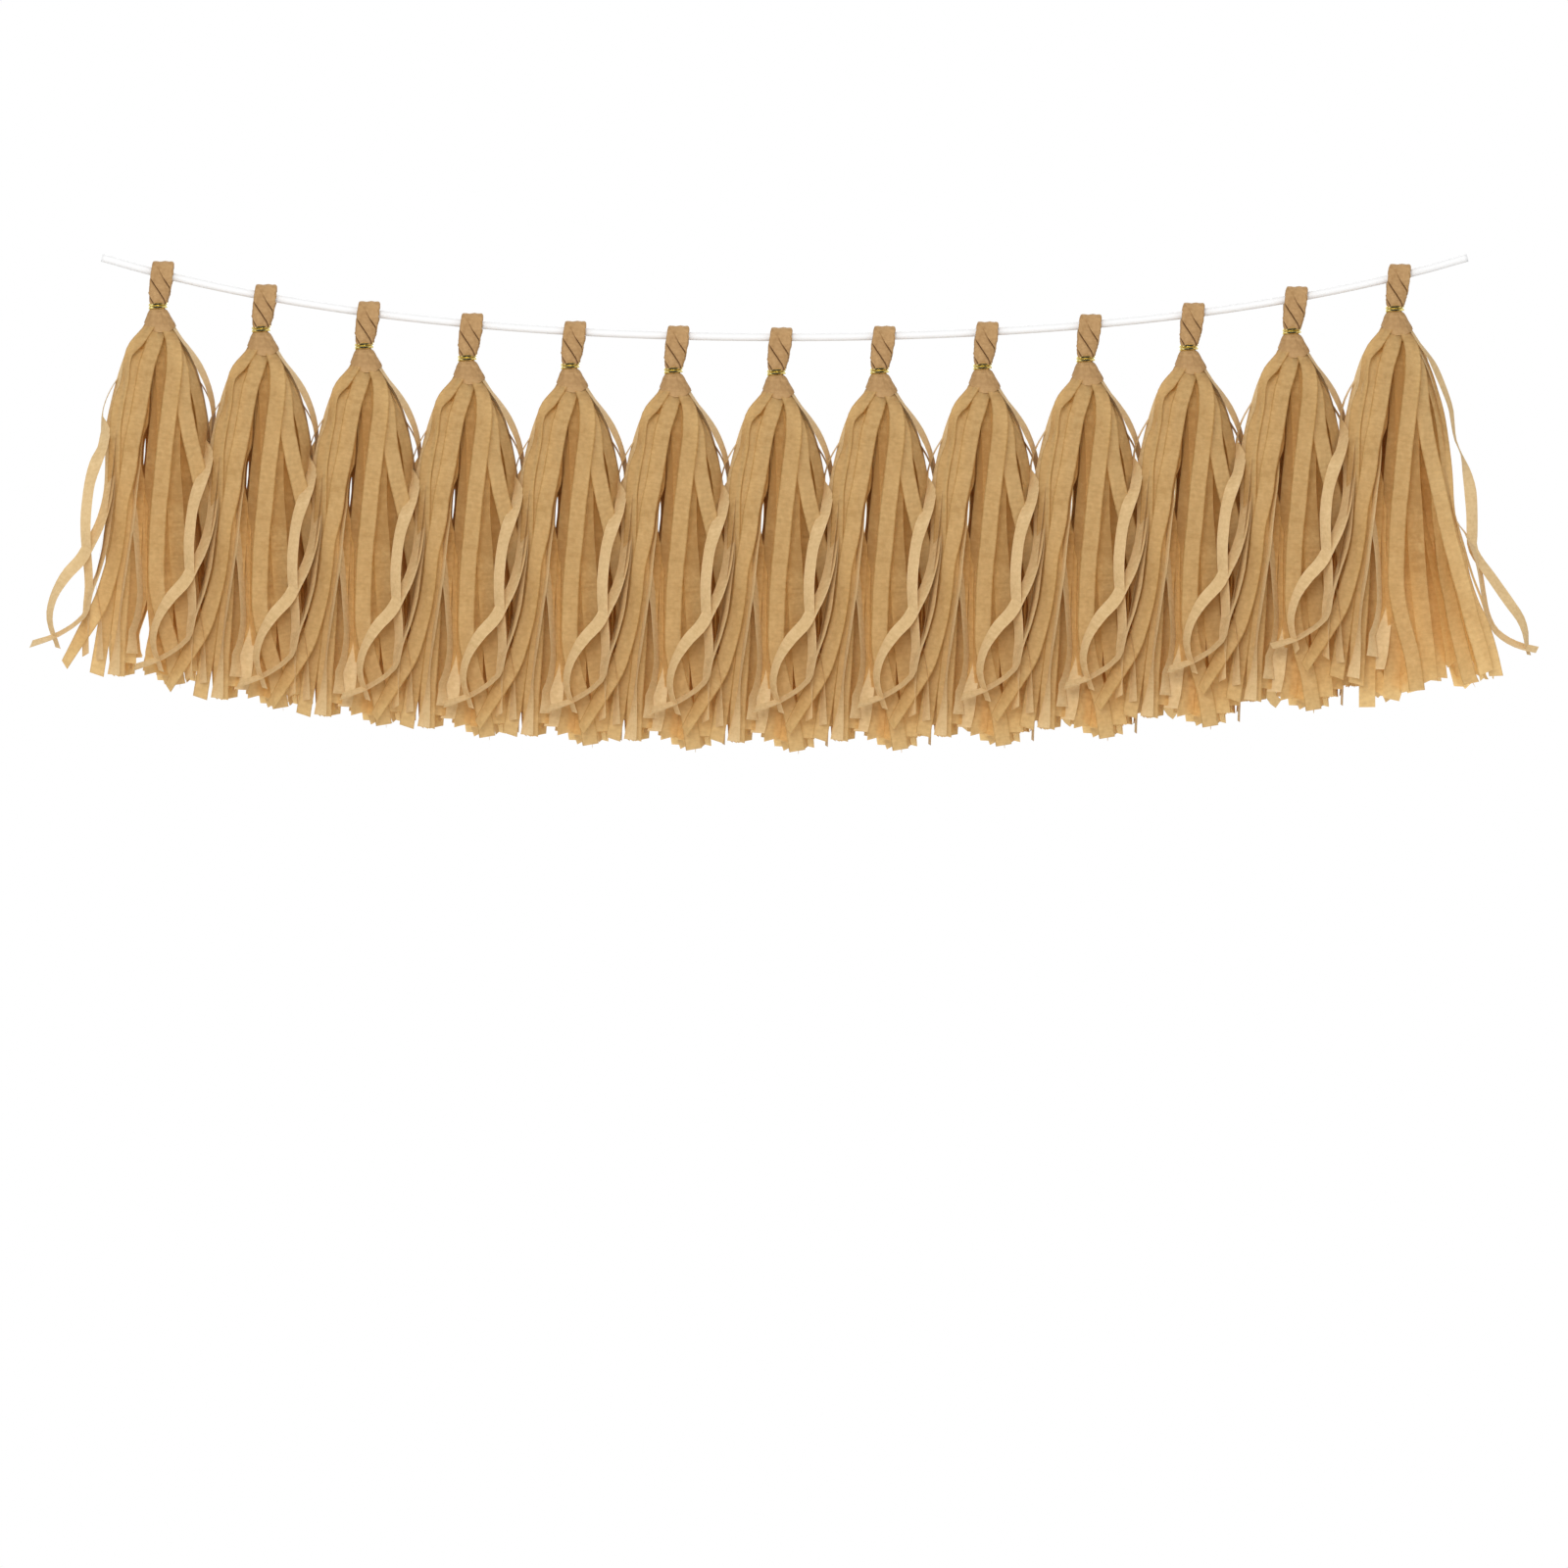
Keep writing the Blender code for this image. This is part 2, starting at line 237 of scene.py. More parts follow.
# how far at most its middle cups in or out, and the same of that
STRIP_CUP = 1.44
CUP_PITCH = 0.018
CUP_BEGINS = 50
# how far a strip's edges stand out where it leaves the band, and over what length that ends
ROOT_HUG = 1.3
ROOT_LENGTH = 22
# how far out of square an end is cut, where across the strip its level is read, and the least last step
END_SLANT = 1.6
CUT_PLACES = (-0.8, -0.4, 0.0, 0.4, 0.8)
LAST_STEP = 2
# half a strip's width in its UV, where each strip is one unit wide
STRIP_HALF_UV = 0.45

# Each strip is a run of stations: millimetres to the right of the wire's centre, to the back of it and
# below it, and the degrees by which the strip's face is turned from the front.
FRONT_STRIPS = {
    "left": [
        (-4.6, -5.2, 9.5, -48), (-6.6, -7.2, 13.4, -48), (-9.6, -10.4, 18, -44), (-12.9, -13, 23, -38),
        (-17.7, -16, 31, -60), (-20, -19, 47, -58), (-23.4, -21, 60, -42), (-25.2, -22.5, 75, -45),
        (-26, -23.5, 100, -40), (-26.5, -24, 130, -35), (-27.5, -25, 160, -35), (-31, -26, 190, -30),
        (-36.5, -27, 226, -25),
    ],
    "left_under": [
        (-2.2, -2.8, 11, -20), (-3.6, -4.6, 15, -18), (-8.2, -10.5, 25, -15), (-12, -17.5, 36, -15),
        (-15, -22.5, 58, -14), (-17.5, -25, 80, -12), (-19, -26, 110, -12), (-20, -27, 140, -12),
        (-21, -28, 170, -18), (-23, -28.5, 200, -16), (-24.5, -28.5, 230, -12),
    ],
    "middle_left": [
        (0.8, -6.6, 11.5, 0), (0.3, -9.2, 16, 0), (-1.2, -12.6, 20, -2), (-2.9, -16.0, 26, -10),
        (-6, -20.5, 36, -8), (-9.2, -25, 54, -12), (-12, -28, 70, -10), (-15.1, -29.3, 85, -8),
        (-17, -30, 100, -10), (-20.9, -30.5, 120, -32), (-23, -31, 138, -34), (-26.3, -31.5, 157, -24),
        (-30.4, -32, 172, -16), (-34.9, -32.5, 184, -10), (-41.8, -33, 196, -22), (-49, -33, 208, -42),
        (-56, -33, 220, -54),
    ],
    "middle_right": [
        (5.6, -5.4, 11, 45), (7.4, -7.3, 15, 46), (9.0, -10.2, 19.5, 38), (10.4, -14.5, 25, 25),
        (10.4, -20, 41, 5), (8.5, -24.5, 57, 5), (6.4, -27.5, 75, 3), (4.7, -28.8, 90, 3),
        (3.2, -29.5, 107, 0), (1.2, -30, 127, 0), (0, -30, 157, 0), (0.4, -29.5, 174, 2),
        (4, -28.5, 192, 8), (9.5, -27.5, 212, 12), (13.4, -27, 238, 12),
    ],
    "right_under": [
        (5, -3.8, 11, 35), (6.2, -5.2, 16, 30), (9, -10, 25, 15), (10.3, -14.5, 40, 10),
        (9.8, -18.5, 60, 8), (9.4, -21, 80, 5), (9.6, -22.5, 100, 5), (11, -23, 120, 5),
        (12, -23.5, 138, 4), (13.4, -23.5, 160, 4), (15.2, -23, 180, 4), (17.6, -22.5, 200, 6),
        (21.4, -22, 238, 8),
    ],
    "inner_left": [
        (-2, -5.5, 11, -8), (-3, -7.5, 16, -8), (-6, -12, 27, -8), (-8, -15, 40, -8),
        (-9.5, -18.5, 60, -8), (-11, -20, 90, -6), (-13, -21, 120, -5), (-14.5, -21.5, 150, -5),
        (-16.5, -22, 178, -5), (-17.5, -22, 200, -5), (-17.6, -22, 220, -5), (-17.6, -22, 246, -5),
    ],
    "inner_middle": [
        (3, -2.5, 11, 10), (3.6, -3.8, 16, 8), (4.8, -8, 27, 0), (4.2, -12, 38, 0), (2.6, -15, 55, 0),
        (0.2, -17, 75, 0), (-2.2, -18.5, 100, 0), (-3.4, -19.5, 120, 0), (-3.4, -20.5, 140, 0),
        (-2, -21.5, 165, 0), (-1, -22, 190, 0), (-2, -22, 210, 0), (-3, -22, 240, 0),
    ],
    "inner_low": [
        (2, -2, 11, 0), (2.5, -3, 16, 0), (3.5, -6, 30, 0), (3.5, -10, 60, 0), (2, -13, 100, 0),
        (2, -15.5, 140, 0), (3.4, -18, 180, 2), (4.4, -20, 210, 2), (4.6, -20.5, 240, 2),
    ],
    "inner_right": [
        (4.5, -3, 11, 45), (6, -4, 16, 45), (11.5, -7, 30, 35), (16, -9, 55, 30), (18, -11, 80, 25),
        (19, -12, 110, 25), (19, -12.5, 140, 20), (19.5, -13, 160, 20), (21, -13, 180, 18),
        (24, -13, 200, 18), (27, -13, 226, 18),
    ],
    "loop_left": [
        (-6, -2, 9.5, -72), (-8.6, -2.5, 14, -70), (-16, -5, 25, -66), (-21.5, -8, 40, -62),
        (-26, -11, 60, -55), (-28.7, -14, 78, -52), (-28.6, -18, 95, -50), (-29.6, -23, 112, -52),
        (-32, -28, 125, -52), (-36, -32, 137, -50), (-41, -33.5, 146, -44), (-46, -34.5, 155, -40),
        (-55, -35, 165, -44), (-62, -35, 176.6, -58), (-65, -35, 188.5, -64), (-64.3, -35, 197, -69),
        (-61.5, -35, 206.5, -72), (-60.5, -35, 210, -72),
    ],
    "bowed_left": [
        (-6.5, 0, 9.5, -85), (-9.2, 0.3, 14, -85), (-15.5, 1, 27, -85), (-21.8, 0, 40, -84),
        (-28.5, -3, 51, -84), (-32, -6, 59.5, -84), (-33.5, -9, 69.5, -80), (-31.8, -14, 77, -50),
        (-33, -20, 86, -52), (-37, -26, 96, -40), (-41.3, -30, 110, -48), (-43, -31.5, 125, -48),
        (-43.3, -32, 138, -50), (-43, -32, 150, -53), (-42, -32, 163, -56), (-41.8, -32, 173, -58),
        (-43, -32, 184, -60), (-43.5, -32, 200, -64), (-43.2, -32, 214, -64),
    ],
    "crossing_left": [
        (-6.5, -2, 9.5, -75), (-9, -3, 14, -74), (-18, -9, 35, -70), (-24, -14, 60, -66),
        (-26, -19, 90, -66), (-28, -24, 120, -66), (-31, -29, 145, -68), (-35.5, -33, 162, -72),
        (-40, -35.5, 175, -70), (-43, -36.3, 188, -70), (-48, -36.5, 193.5, -72), (-54, -36.5, 198, -72),
        (-63, -36.5, 203, -70), (-76.5, -36.5, 207.2, -66),
    ],
    "edge_left": [
        (-6, -2, 10.5, -70), (-8.8, -2.6, 15, -70), (-19, -12, 35, -66), (-25, -18, 70, -75),
        (-27.5, -22, 105, -85), (-31, -27, 130, -88), (-33.5, -29, 145, -88), (-35.5, -30, 160, -88),
        (-36.5, -30, 170, -88), (-35, -30, 190, -80), (-34.5, -30, 217, -60),
    ],
    "slim_left": [
        (-2, -4, 11, -40), (-3, -5.5, 16, -50), (-5.5, -9, 27, -60), (-7.5, -12, 40, -70),
        (-8.5, -16, 65, -78), (-10, -23, 90, -78), (-12.3, -29, 110, -76), (-14.6, -30.5, 130, -74),
        (-17.3, -31, 150, -74), (-20.3, -31.5, 172, -76), (-22.5, -31.5, 190, -80),
        (-24.5, -31, 210, -58), (-26.5, -30.5, 226, -40),
    ],
    "curl_low": [
        (-2, -3.5, 11, 0), (-3, -5, 16, 0), (-6.5, -9, 30, 0), (-11, -13.5, 60, 10), (-15, -18, 90, 10),
        (-14.5, -21.5, 120, 40), (-12, -24.5, 145, 66), (-10.5, -26, 165, 70), (-10.4, -27, 180, 70),
        (-12.2, -27.5, 195, 66), (-12.4, -28, 205, 60), (-9.8, -28, 213, 45),
    ],
}
# The right side of a tassel with another beside it, and of the last one, which spreads freely.
INNER_RIGHT_STRIPS = {
    "right": [
        (6.5, -4.5, 11, 60), (7.6, -5.8, 15, 60), (9.5, -8, 20, 55), (12.5, -10.5, 28, 45),
        (15, -14.5, 40, 30), (16.5, -19, 60, 22), (20.2, -21, 80, 18), (24.8, -20, 100, 16),
        (28.8, -16.5, 120, 18), (31.6, -12.5, 140, 20), (33.2, -9.5, 160, 22), (34, -8, 180, 24),
        (34, -8, 200, 24), (34, -8, 228, 24),
    ],
    "far_right": [
        (7.5, -2.5, 11, 75), (8.6, -3.2, 15, 75), (10.8, -4.5, 20, 72), (15, -6.5, 28, 66),
        (20, -8, 40, 55), (25.5, -9.5, 60, 50), (27.6, -9.5, 80, 54), (28.2, -7, 100, 60),
        (28, -4.5, 120, 68), (27.5, -2.5, 160, 76), (27.5, -1.5, 224, 80),
    ],
    "bowed_right": [
        (8.2, -1, 9.5, 82), (10.6, -1, 13, 82), (15.4, -0.8, 20.8, 80), (18.6, 0, 25.5, 78),
        (25.4, 1, 37, 66), (30.7, 1, 48, 70), (33.4, 1, 58, 72), (34.3, 1, 68, 78), (33, 2, 85, 82),
        (31.8, 3, 110, 82), (31, 3, 160, 80), (31, 3, 229, 80),
    ],
}
LAST_RIGHT_STRIPS = {
    "right": [
        (6.5, -4.5, 11, 60), (7.6, -5.8, 15, 60), (9.5, -8, 20, 55), (12.5, -10.5, 28, 45),
        (15, -14.5, 40, 30), (16.5, -19, 60, 22), (19.4, -21.5, 80, 18), (24, -23, 102, 15),
        (28.5, -23.5, 122, 16), (32.5, -24, 140, 15), (37.5, -24.5, 158, 14), (42, -25, 174, 14),
        (46.8, -25, 192, 14), (51.5, -25, 208, 14), (56.3, -25, 226, 14),
    ],
    "far_right": [
        (7.5, -2.5, 11, 75), (8.6, -3.2, 15, 75), (10.8, -4.5, 20, 72), (15, -6.5, 28, 66),
        (20, -8, 40, 55), (26, -9.5, 60, 50), (29, -11, 78, 48), (31.2, -12, 100, 45),
        (32.4, -13, 120, 42), (35, -14, 140, 38), (38.8, -15, 152, 35), (41.8, -16, 165, 30),
        (46.6, -17, 180, 30), (53.3, -18, 195, 30), (58, -18, 210, 30), (61.5, -18, 225, 30),
    ],
    "far_right_under": [
        (6.8, -2.5, 11, 65), (8, -3, 15.5, 62), (16, -6.5, 33, 50), (21.5, -9, 60, 45),
        (25, -13, 90, 42), (25.5, -16, 120, 40), (27.5, -17.5, 140, 40), (29.5, -18, 160, 44),
        (33, -19, 175, 32), (37, -19, 195, 25), (42, -19, 215, 20), (46.5, -19, 231, 18),
    ],
    "loop_right": [
        (8.2, -1, 9.5, 82), (10.6, -1, 13, 82), (15.4, -1, 20.8, 80), (18.6, -1, 25.5, 78),
        (25.2, -1, 37, 66), (33.5, -2, 59.5, 70), (35.2, -3, 69.4, 74), (37.2, -3, 80.4, 80),
        (40.5, -3, 88.9, 82), (43.8, -3, 101, 54), (46, -3, 112.2, 40), (46.9, -3, 125, 44),
        (47.1, -3, 138, 46), (47.5, -3, 146, 52), (51, -3.5, 153, 54), (57, -4, 161.5, 52),
        (63.5, -4, 171, 50), (70, -4, 180, 50), (77, -4, 190, 56), (80.2, -4, 199.5, 66),
        (80.6, -4, 206, 74), (82, -4, 212, 74),
    ],
    "crossing_right": [
        (7.5, -2, 10.5, 78), (9.4, -2.2, 15, 76), (17, -4, 28, 75), (25, -6, 50, 75), (30, -7, 75, 78),
        (32, -7, 100, 82), (35.5, -7, 120, 84), (38.5, -7, 131, 84), (42.8, -6.5, 137, 82),
        (46.7, -6.5, 145, 74), (50.3, -6.5, 153, 70), (52.8, -6.5, 163, 70), (54.6, -6.5, 174, 70),
        (57, -6.5, 186, 70), (61.2, -6.5, 196, 66), (68.5, -6.5, 202.5, 64), (77, -6.5, 206.5, 64),
        (87, -6.5, 209, 64),
    ],
}
# in the low slot of every tassel but the first
SLOT_STRIP = [
    (2, -2.5, 11, 0), (2.6, -3.5, 16, 0), (4, -5, 30, 0), (3.4, -7, 60, 5), (2.2, -10, 90, 10),
    (0.4, -13, 120, 12), (-1.6, -16, 150, 10), (-5, -18.5, 170, 8), (-7.2, -20.5, 186, 0),
    (-8.6, -22, 200, -14), (-9.6, -23, 212, -26), (-11.4, -23, 221, -34),
]
# The strips that fill the tassel, in rings: radius, strips, first and last bearing in degrees
# (0 to the right, 90 to the back), and the most that a strip turns.
FILL_RINGS = [
    (29.5, 9, 8, 166, 12), (25.0, 9, -10, 192, 20), (20.0, 9, 0, 324, 26), (14.5, 7, 20, 330, 34),
    (9.0, 5, 0, 290, 45), (4.0, 2, 0, 180, 60),
]
# millimetres down, and how much of its ring's radius a strip has there
SWELL = [
    (11, 0.27), (16, 0.32), (25, 0.50), (36, 0.67), (55, 0.86), (75, 0.95), (100, 1.0), (125, 1.0),
    (150, 1.01), (165, 1.01), (180, 1.02), (195, 1.02), (208, 1.03), (222, 1.03), (245, 1.04),
]
# The strips part round two open slots: millimetres down, the slot's middle, half its width, and how
# fully a strip's own width keeps clear of it, with SLOT_SPARE beside it.
LOW_SLOT = [
    (162, -5.8, 0, 0), (186, -6.6, 0.6, 1), (200, -8.6, 3.7, 1), (212, -9.4, 1.8, 1), (234, -10, 0, 0),
]
HIGH_SLOT = [
    (64, -7.2, 0, 0), (80, -8.2, 0.0, 1), (89, -8.7, 0.35, 1), (98, -9.2, 0.1, 1), (120, -10, 0, 0),
]
SLOT_SPARE = 0.4
# How far down the strips' ends reach: millimetres right of the middle, and below the wire.
END_LEVELS = [
    (-36, 226), (-30, 226), (-20.5, 226), (-19.8, 231), (-14.5, 230), (-13.4, 216), (-8.4, 215),
    (-7.6, 225), (-0.4, 225), (0.2, 220), (0.8, 229), (8, 230), (9, 234), (17, 233), (18, 230),
    (24, 229), (25, 224), (30, 223), (31.5, 216), (36, 218),
]
LAST_END_LEVELS = [
    (-42, 227), (-31, 227), (-30, 231), (-23.5, 231), (-22.8, 245), (-13, 244), (-12, 235), (-8, 235),
    (-7.2, 240), (3, 239), (4.5, 234), (12, 234), (13, 238), (21, 237), (22.5, 232), (25, 228),
    (32, 227), (33.5, 218), (37.5, 218), (39, 232), (50, 231), (51.5, 223), (54, 223), (55, 227),
    (66, 226),
]
# The last tassel's right side spreads: millimetres down, and how far a strip moves that is SPREAD_REACH
# from the middle.
SPREAD = [(80, 0), (110, 4), (150, 13), (190, 24), (245, 36)]
SPREAD_REACH = 30
# How far a filling strip strays: degrees of bearing, degrees that it drifts by its end, and millimetres
# that it is short.
FILL_SEED = 7
FILL_BEARING = 4
FILL_DRIFT = 5
FILL_SHORT = 24
# millimetres that it sways out and in, how slowly, and how far down it begins
FILL_SWAY = 1.8
SWAY_PITCH = 24
SWAY_FROM = 30
# how soon it has turned and come back, as a share of its length that goes once into 1
TURN_RATE = 1.3
# millimetres that its end flicks sideways, from how far down, over what length, and how far from the
# middle a strip no longer does
FILL_FLICK = 7
FLICK_FROM = 190
FLICK_OVER = 48
FLICK_REACH = 34
FILL_LAST_STEP = 4


def between(table, place):
    """Read the row of values at a place between the rows of a table."""
    if place <= table[0][0]:
        return table[0][1:]
    for (low, *first), (high, *second) in zip(table, table[1:]):
        if place <= high:
            share = (place - low) / (high - low)
            return [a + (b - a) * share for a, b in zip(first, second)]
    return table[-1][1:]


def fill_strips(chooser):
    """Place the filling strips: each keeps to its ring and drifts slowly as it hangs."""
    placed = []
    for radius, count, first, last, most_turn in FILL_RINGS:
        for number in range(count):
            bearing = first + (last - first) * number / max(count - 1, 1)
            bearing += chooser.uniform(-FILL_BEARING, FILL_BEARING)
            drift = chooser.uniform(-FILL_DRIFT, FILL_DRIFT)
            turn = chooser.uniform(-most_turn, most_turn)
            sway = chooser.uniform(0, 2 * math.pi)
            shorter = chooser.uniform(0, FILL_SHORT)
            flick = chooser.uniform(-FILL_FLICK, FILL_FLICK)
            stations = []
            for down, share in SWELL:
                fallen = (down - SWELL[0][0]) / (SWELL[-1][0] - SWELL[0][0])
                angle = math.radians(bearing + drift * fallen)
                out = radius * share
                if down > SWAY_FROM:
                    out += FILL_SWAY * fallen * math.sin(down / SWAY_PITCH + sway)
                turned = turn * math.sin(math.pi * min(fallen * TURN_RATE, 1))
                x = out * math.cos(angle)
                x += flick * (1 - abs(x) / FLICK_REACH) * max(0, (down - FLICK_FROM) / FLICK_OVER) ** 2
                stations.append((x, out * math.sin(angle), down, bearing + 90 + turned + drift * fallen))
            cut = SWELL[-1][0] - shorter
            end_x, end_y, _, end_facing = stations[-1]
            stations = [station for station in stations if station[2] < cut - FILL_LAST_STEP]
            placed.append(stations + [(end_x, end_y, cut, end_facing)])
    return placed


def spread_right(strips):
    """Let the strips on the right side spread outwards as they hang."""
    return [
        [
            (x + between(SPREAD, down)[0] * max(x, 0) / SPREAD_REACH, y, down, turn)
            for x, y, down, turn in stations
        ]
        for stations in strips
    ]


def add_strip(stations, slots, levels, number, verts, faces, uvs):
    """Lay one strip along its stations and round the slots, cupped and waved, and cut it at its level."""
    total = sum(math.dist(a[:3], b[:3]) for a, b in zip(stations, stations[1:]))
    points = run_through(stations, round(total / STRIP_STEP) + 1)
    for slot in slots:
        level = min(points, key=lambda point: abs(point[2] - slot[2][0]))
        side = math.copysign(1, level[0] - slot[2][1])
        for point in points:
            middle, half, share = between(slot, point[2])
            half_seen = STRIP_WIDTH / 2 * abs(math.cos(math.radians(point[3])))
            clear = half + share * (half_seen + SLOT_SPARE)
            if share and side * (point[0] - middle) < clear:
                point[0] = middle + side * clear
    if levels:
        x, y, drop, turn = points[-1]
        half_seen = STRIP_WIDTH / 2 * abs(math.cos(math.radians(turn)))
        level = min(between(levels, x + half_seen * share)[0] for share in CUT_PLACES)
        if level < drop:
            while points[-2][2] > level - LAST_STEP:
                points.pop()
            points[-1][2] = level
    # each strip is cut, cupped and waved in its own way
    chooser = random.Random(number)
    cup = chooser.uniform(-STRIP_CUP, STRIP_CUP)
    slant = chooser.uniform(-END_SLANT, END_SLANT)
    own_place = chooser.uniform(0, 50)
    start = len(verts)
    travelled = 0.0
    for step, (x, y, drop, turn) in enumerate(points):
        before = points[max(step - 1, 0)]
        after = points[min(step + 1, len(points) - 1)]
        along = Vector((after[0] - before[0], after[1] - before[1], before[2] - after[2])).normalized()
        deep = Vector((0, 1, 0)) - along * along.y
        deep.normalize()
        across = along.cross(deep) * math.cos(math.radians(turn)) + deep * math.sin(math.radians(turn))
        face = across.cross(along)
        if step:
            travelled += math.dist(points[step - 1][:3], (x, y, drop))
        wave = noise.noise(Vector((travelled * WAVE_PITCH, own_place, 0)))
        wave *= STRIP_WAVE * min(1, travelled / WAVE_BEGINS)
        bend = cup * noise.noise(Vector((travelled * CUP_PITCH, own_place, 9)))
        bend *= min(1, travelled / CUP_BEGINS)
        hug = ROOT_HUG * max(0, 1 - travelled / ROOT_LENGTH)
        middle = Vector((x, y, -drop)) + face * wave
        for column in STRIP_COLUMNS:
            stands_out = bend * (1 - column**2) + hug * column**2
            spot = middle + across * column * STRIP_WIDTH / 2 + face * stands_out
            if step == len(points) - 1:
                spot += along * column * slant
            verts.append(spot * MM)
            uvs.append((number + 0.5 + column * STRIP_HALF_UV, travelled * MM))
    join_grid(start, len(points), len(STRIP_COLUMNS), faces)


# Tissue paper: how much each strip's own tone, its creases, its clouds and its mottled grain count between
# the paper's light and deep tones, and what is taken off to keep the mean half way. The creases' share is
# painted shade along the creases.
OWN_SHARE = 0.3
CREASE_SHARE = 0.3
CLOUD_SHARE = 0.3
MOTTLE_SHARE = 0.34
TONE_OFFSET = 0.12
# the stretch of a noise texture's values that is widened to the whole of 0 to 1
NOISE_LOW = 0.35
NOISE_HIGH = 0.65
# creases a strip's width and a metre of its length, and grains and fibres a metre
CREASE_SCALE = (1.3, 480.0, 1.0)
MOTTLE_SCALE = 420.0
FIBRE_SCALE = 900.0
CREASE_RELIEF = 0.22 * MM
FIBRE_RELIEF = 0.08 * MM
# where in its UV, from its middle, the painted shade along a strip's edge starts, and where it is deepest
EDGE_SHADE_FROM = 0.37
EDGE_SHADE_TO = STRIP_HALF_UV
# how far down its length a strip starts to lose the painted shade at its roots, and where it has lost it
ROOT_SHADE_FROM = 60 * MM
ROOT_SHADE_TO = 175 * MM
# where in its UV a wrap of paper starts to go under the next, and is under it, and between which heights
# above the wire the painted shade there fades
TUCK_FROM = 0.75
TUCK_TO = 0.83
TUCK_FADE_FROM = 14 * MM
TUCK_FADE_TO = 21 * MM


def tissue_finish(name, light, deep, glow, through, cloud, painted_root_shade=0.0, painted_edge_shade=0.0, tuck_shade=None):
    """Tissue paper: thin enough to glow, with fine creases across each strip, painted shade along them, and
    its own tone on each.

    With a root shade the paper is painted deeper in tone near the strips' roots, as shade deep in the pile.
    With an edge shade it is painted deeper, past its deep tone too, along the strips' edges, as shade
    between the strips.
    With a tuck_shade each wrap of paper has that colour where it goes under the next, as painted shade in
    the tuck.
    """
    material, tree, shader = new_finish(name)
    coords = add_node(tree, "ShaderNodeTexCoord")
    parts = add_node(tree, "ShaderNodeSeparateXYZ", i0=coords.outputs["UV"])
    strip = work_out(tree, "FLOOR", parts.outputs["X"])
    tone = add_node(tree, "ShaderNodeTexWhiteNoise", {"noise_dimensions": "1D"}, W=strip)
    mixed = work_out(tree, "MULTIPLY", tone.outputs["Value"], OWN_SHARE)
    place = add_node(tree, "ShaderNodeMapping", i0=coords.outputs["UV"], Scale=CREASE_SCALE)
    creases = add_node(
        tree, "ShaderNodeTexNoise", Vector=place.outputs[0], Scale=1.0, Detail=3.0, Roughness=0.65
    )
    clouds = add_node(
        tree, "ShaderNodeTexNoise", Vector=coords.outputs["Object"], Scale=cloud, Detail=4.0, Roughness=0.6
    )
    mottle = add_node(
        tree, "ShaderNodeTexNoise", Vector=coords.outputs["Object"], Scale=MOTTLE_SCALE, Detail=3.0
    )
    fibres = add_node(
        tree, "ShaderNodeTexNoise", Vector=coords.outputs["Object"], Scale=FIBRE_SCALE, Detail=2.0
    )
    # the creases' share deepens the tone along the crease pattern as painted shade; own tone, clouds and
    # mottle are the paper's own
    for layer, share in ((creases, CREASE_SHARE), (clouds, CLOUD_SHARE), (mottle, MOTTLE_SHARE)):
        wide = add_node(tree, "ShaderNodeMapRange", i0=layer.outputs[0], i1=NOISE_LOW, i2=NOISE_HIGH)
        mixed = work_out(tree, "MULTIPLY_ADD", wide.outputs[0], share, mixed)
    mixed = work_out(tree, "SUBTRACT", mixed, TONE_OFFSET, clamp=True)
    # painted shade along each strip's edges, where it lies against the next
    if painted_edge_shade:
        within = work_out(tree, "FRACT", parts.outputs["X"])
        from_middle = work_out(tree, "ABSOLUTE", work_out(tree, "SUBTRACT", within, 0.5))
        depth = add_node(
            tree, "ShaderNodeMapRange", i0=from_middle, i1=EDGE_SHADE_FROM, i2=EDGE_SHADE_TO, i3=0.0, i4=painted_edge_shade
        )
        mixed = work_out(tree, "ADD", mixed, depth.outputs[0])
    # painted shade near the strips' roots, fading down their length
    if painted_root_shade:
        depth = add_node(
            tree, "ShaderNodeMapRange", i0=parts.outputs["Y"], i1=ROOT_SHADE_FROM, i2=ROOT_SHADE_TO,
            i3=painted_root_shade, i4=0.0,
        )
        mixed = work_out(tree, "ADD", mixed, depth.outputs[0], clamp=True)
    colour = add_node(
        tree, "ShaderNodeMix", {"data_type": "RGBA", "clamp_factor": False},
        i0=mixed, i6=(*light, 1), i7=(*deep, 1),
    )
    # painted shade where each wrap of paper goes under the next
    if tuck_shade:
        within = work_out(tree, "FRACT", parts.outputs["X"])
        under = add_node(tree, "ShaderNodeMapRange", i0=within, i1=TUCK_FROM, i2=TUCK_TO)
        height = add_node(tree, "ShaderNodeSeparateXYZ", i0=coords.outputs["Object"]).outputs["Z"]
        below = add_node(
            tree, "ShaderNodeMapRange", i0=height, i1=TUCK_FADE_FROM, i2=TUCK_FADE_TO, i3=1.0, i4=0.0
        )
        shade = work_out(tree, "MULTIPLY", under.outputs[0], below.outputs[0])
        colour = add_node(
            tree, "ShaderNodeMix", {"data_type": "RGBA"},
            i0=shade, i6=colour.outputs[2], i7=(*tuck_shade, 1),
        )
    tree.links.new(colour.outputs[2], shader.inputs["Base Color"])
    shader.inputs["Roughness"].default_value = 0.72
    shader.inputs["Specular IOR Level"].default_value = 0.3
    creased = add_node(
        tree, "ShaderNodeBump", Strength=0.5, Distance=CREASE_RELIEF, Height=creases.outputs[0]
    )
    relief = add_node(
        tree, "ShaderNodeBump", Strength=0.35, Distance=FIBRE_RELIEF,
        Height=fibres.outputs[0], Normal=creased.outputs[0],
    ).outputs["Normal"]
    tree.links.new(relief, shader.inputs["Normal"])
    glowing = add_node(tree, "ShaderNodeBsdfTranslucent", Color=(*glow, 1), Normal=relief)
    both = add_node(tree, "ShaderNodeMixShader", i0=through, i1=shader.outputs[0], i2=glowing.outputs[0])
    tree.links.new(both.outputs[0], tree.nodes["Material Output"].inputs["Surface"])
    return material
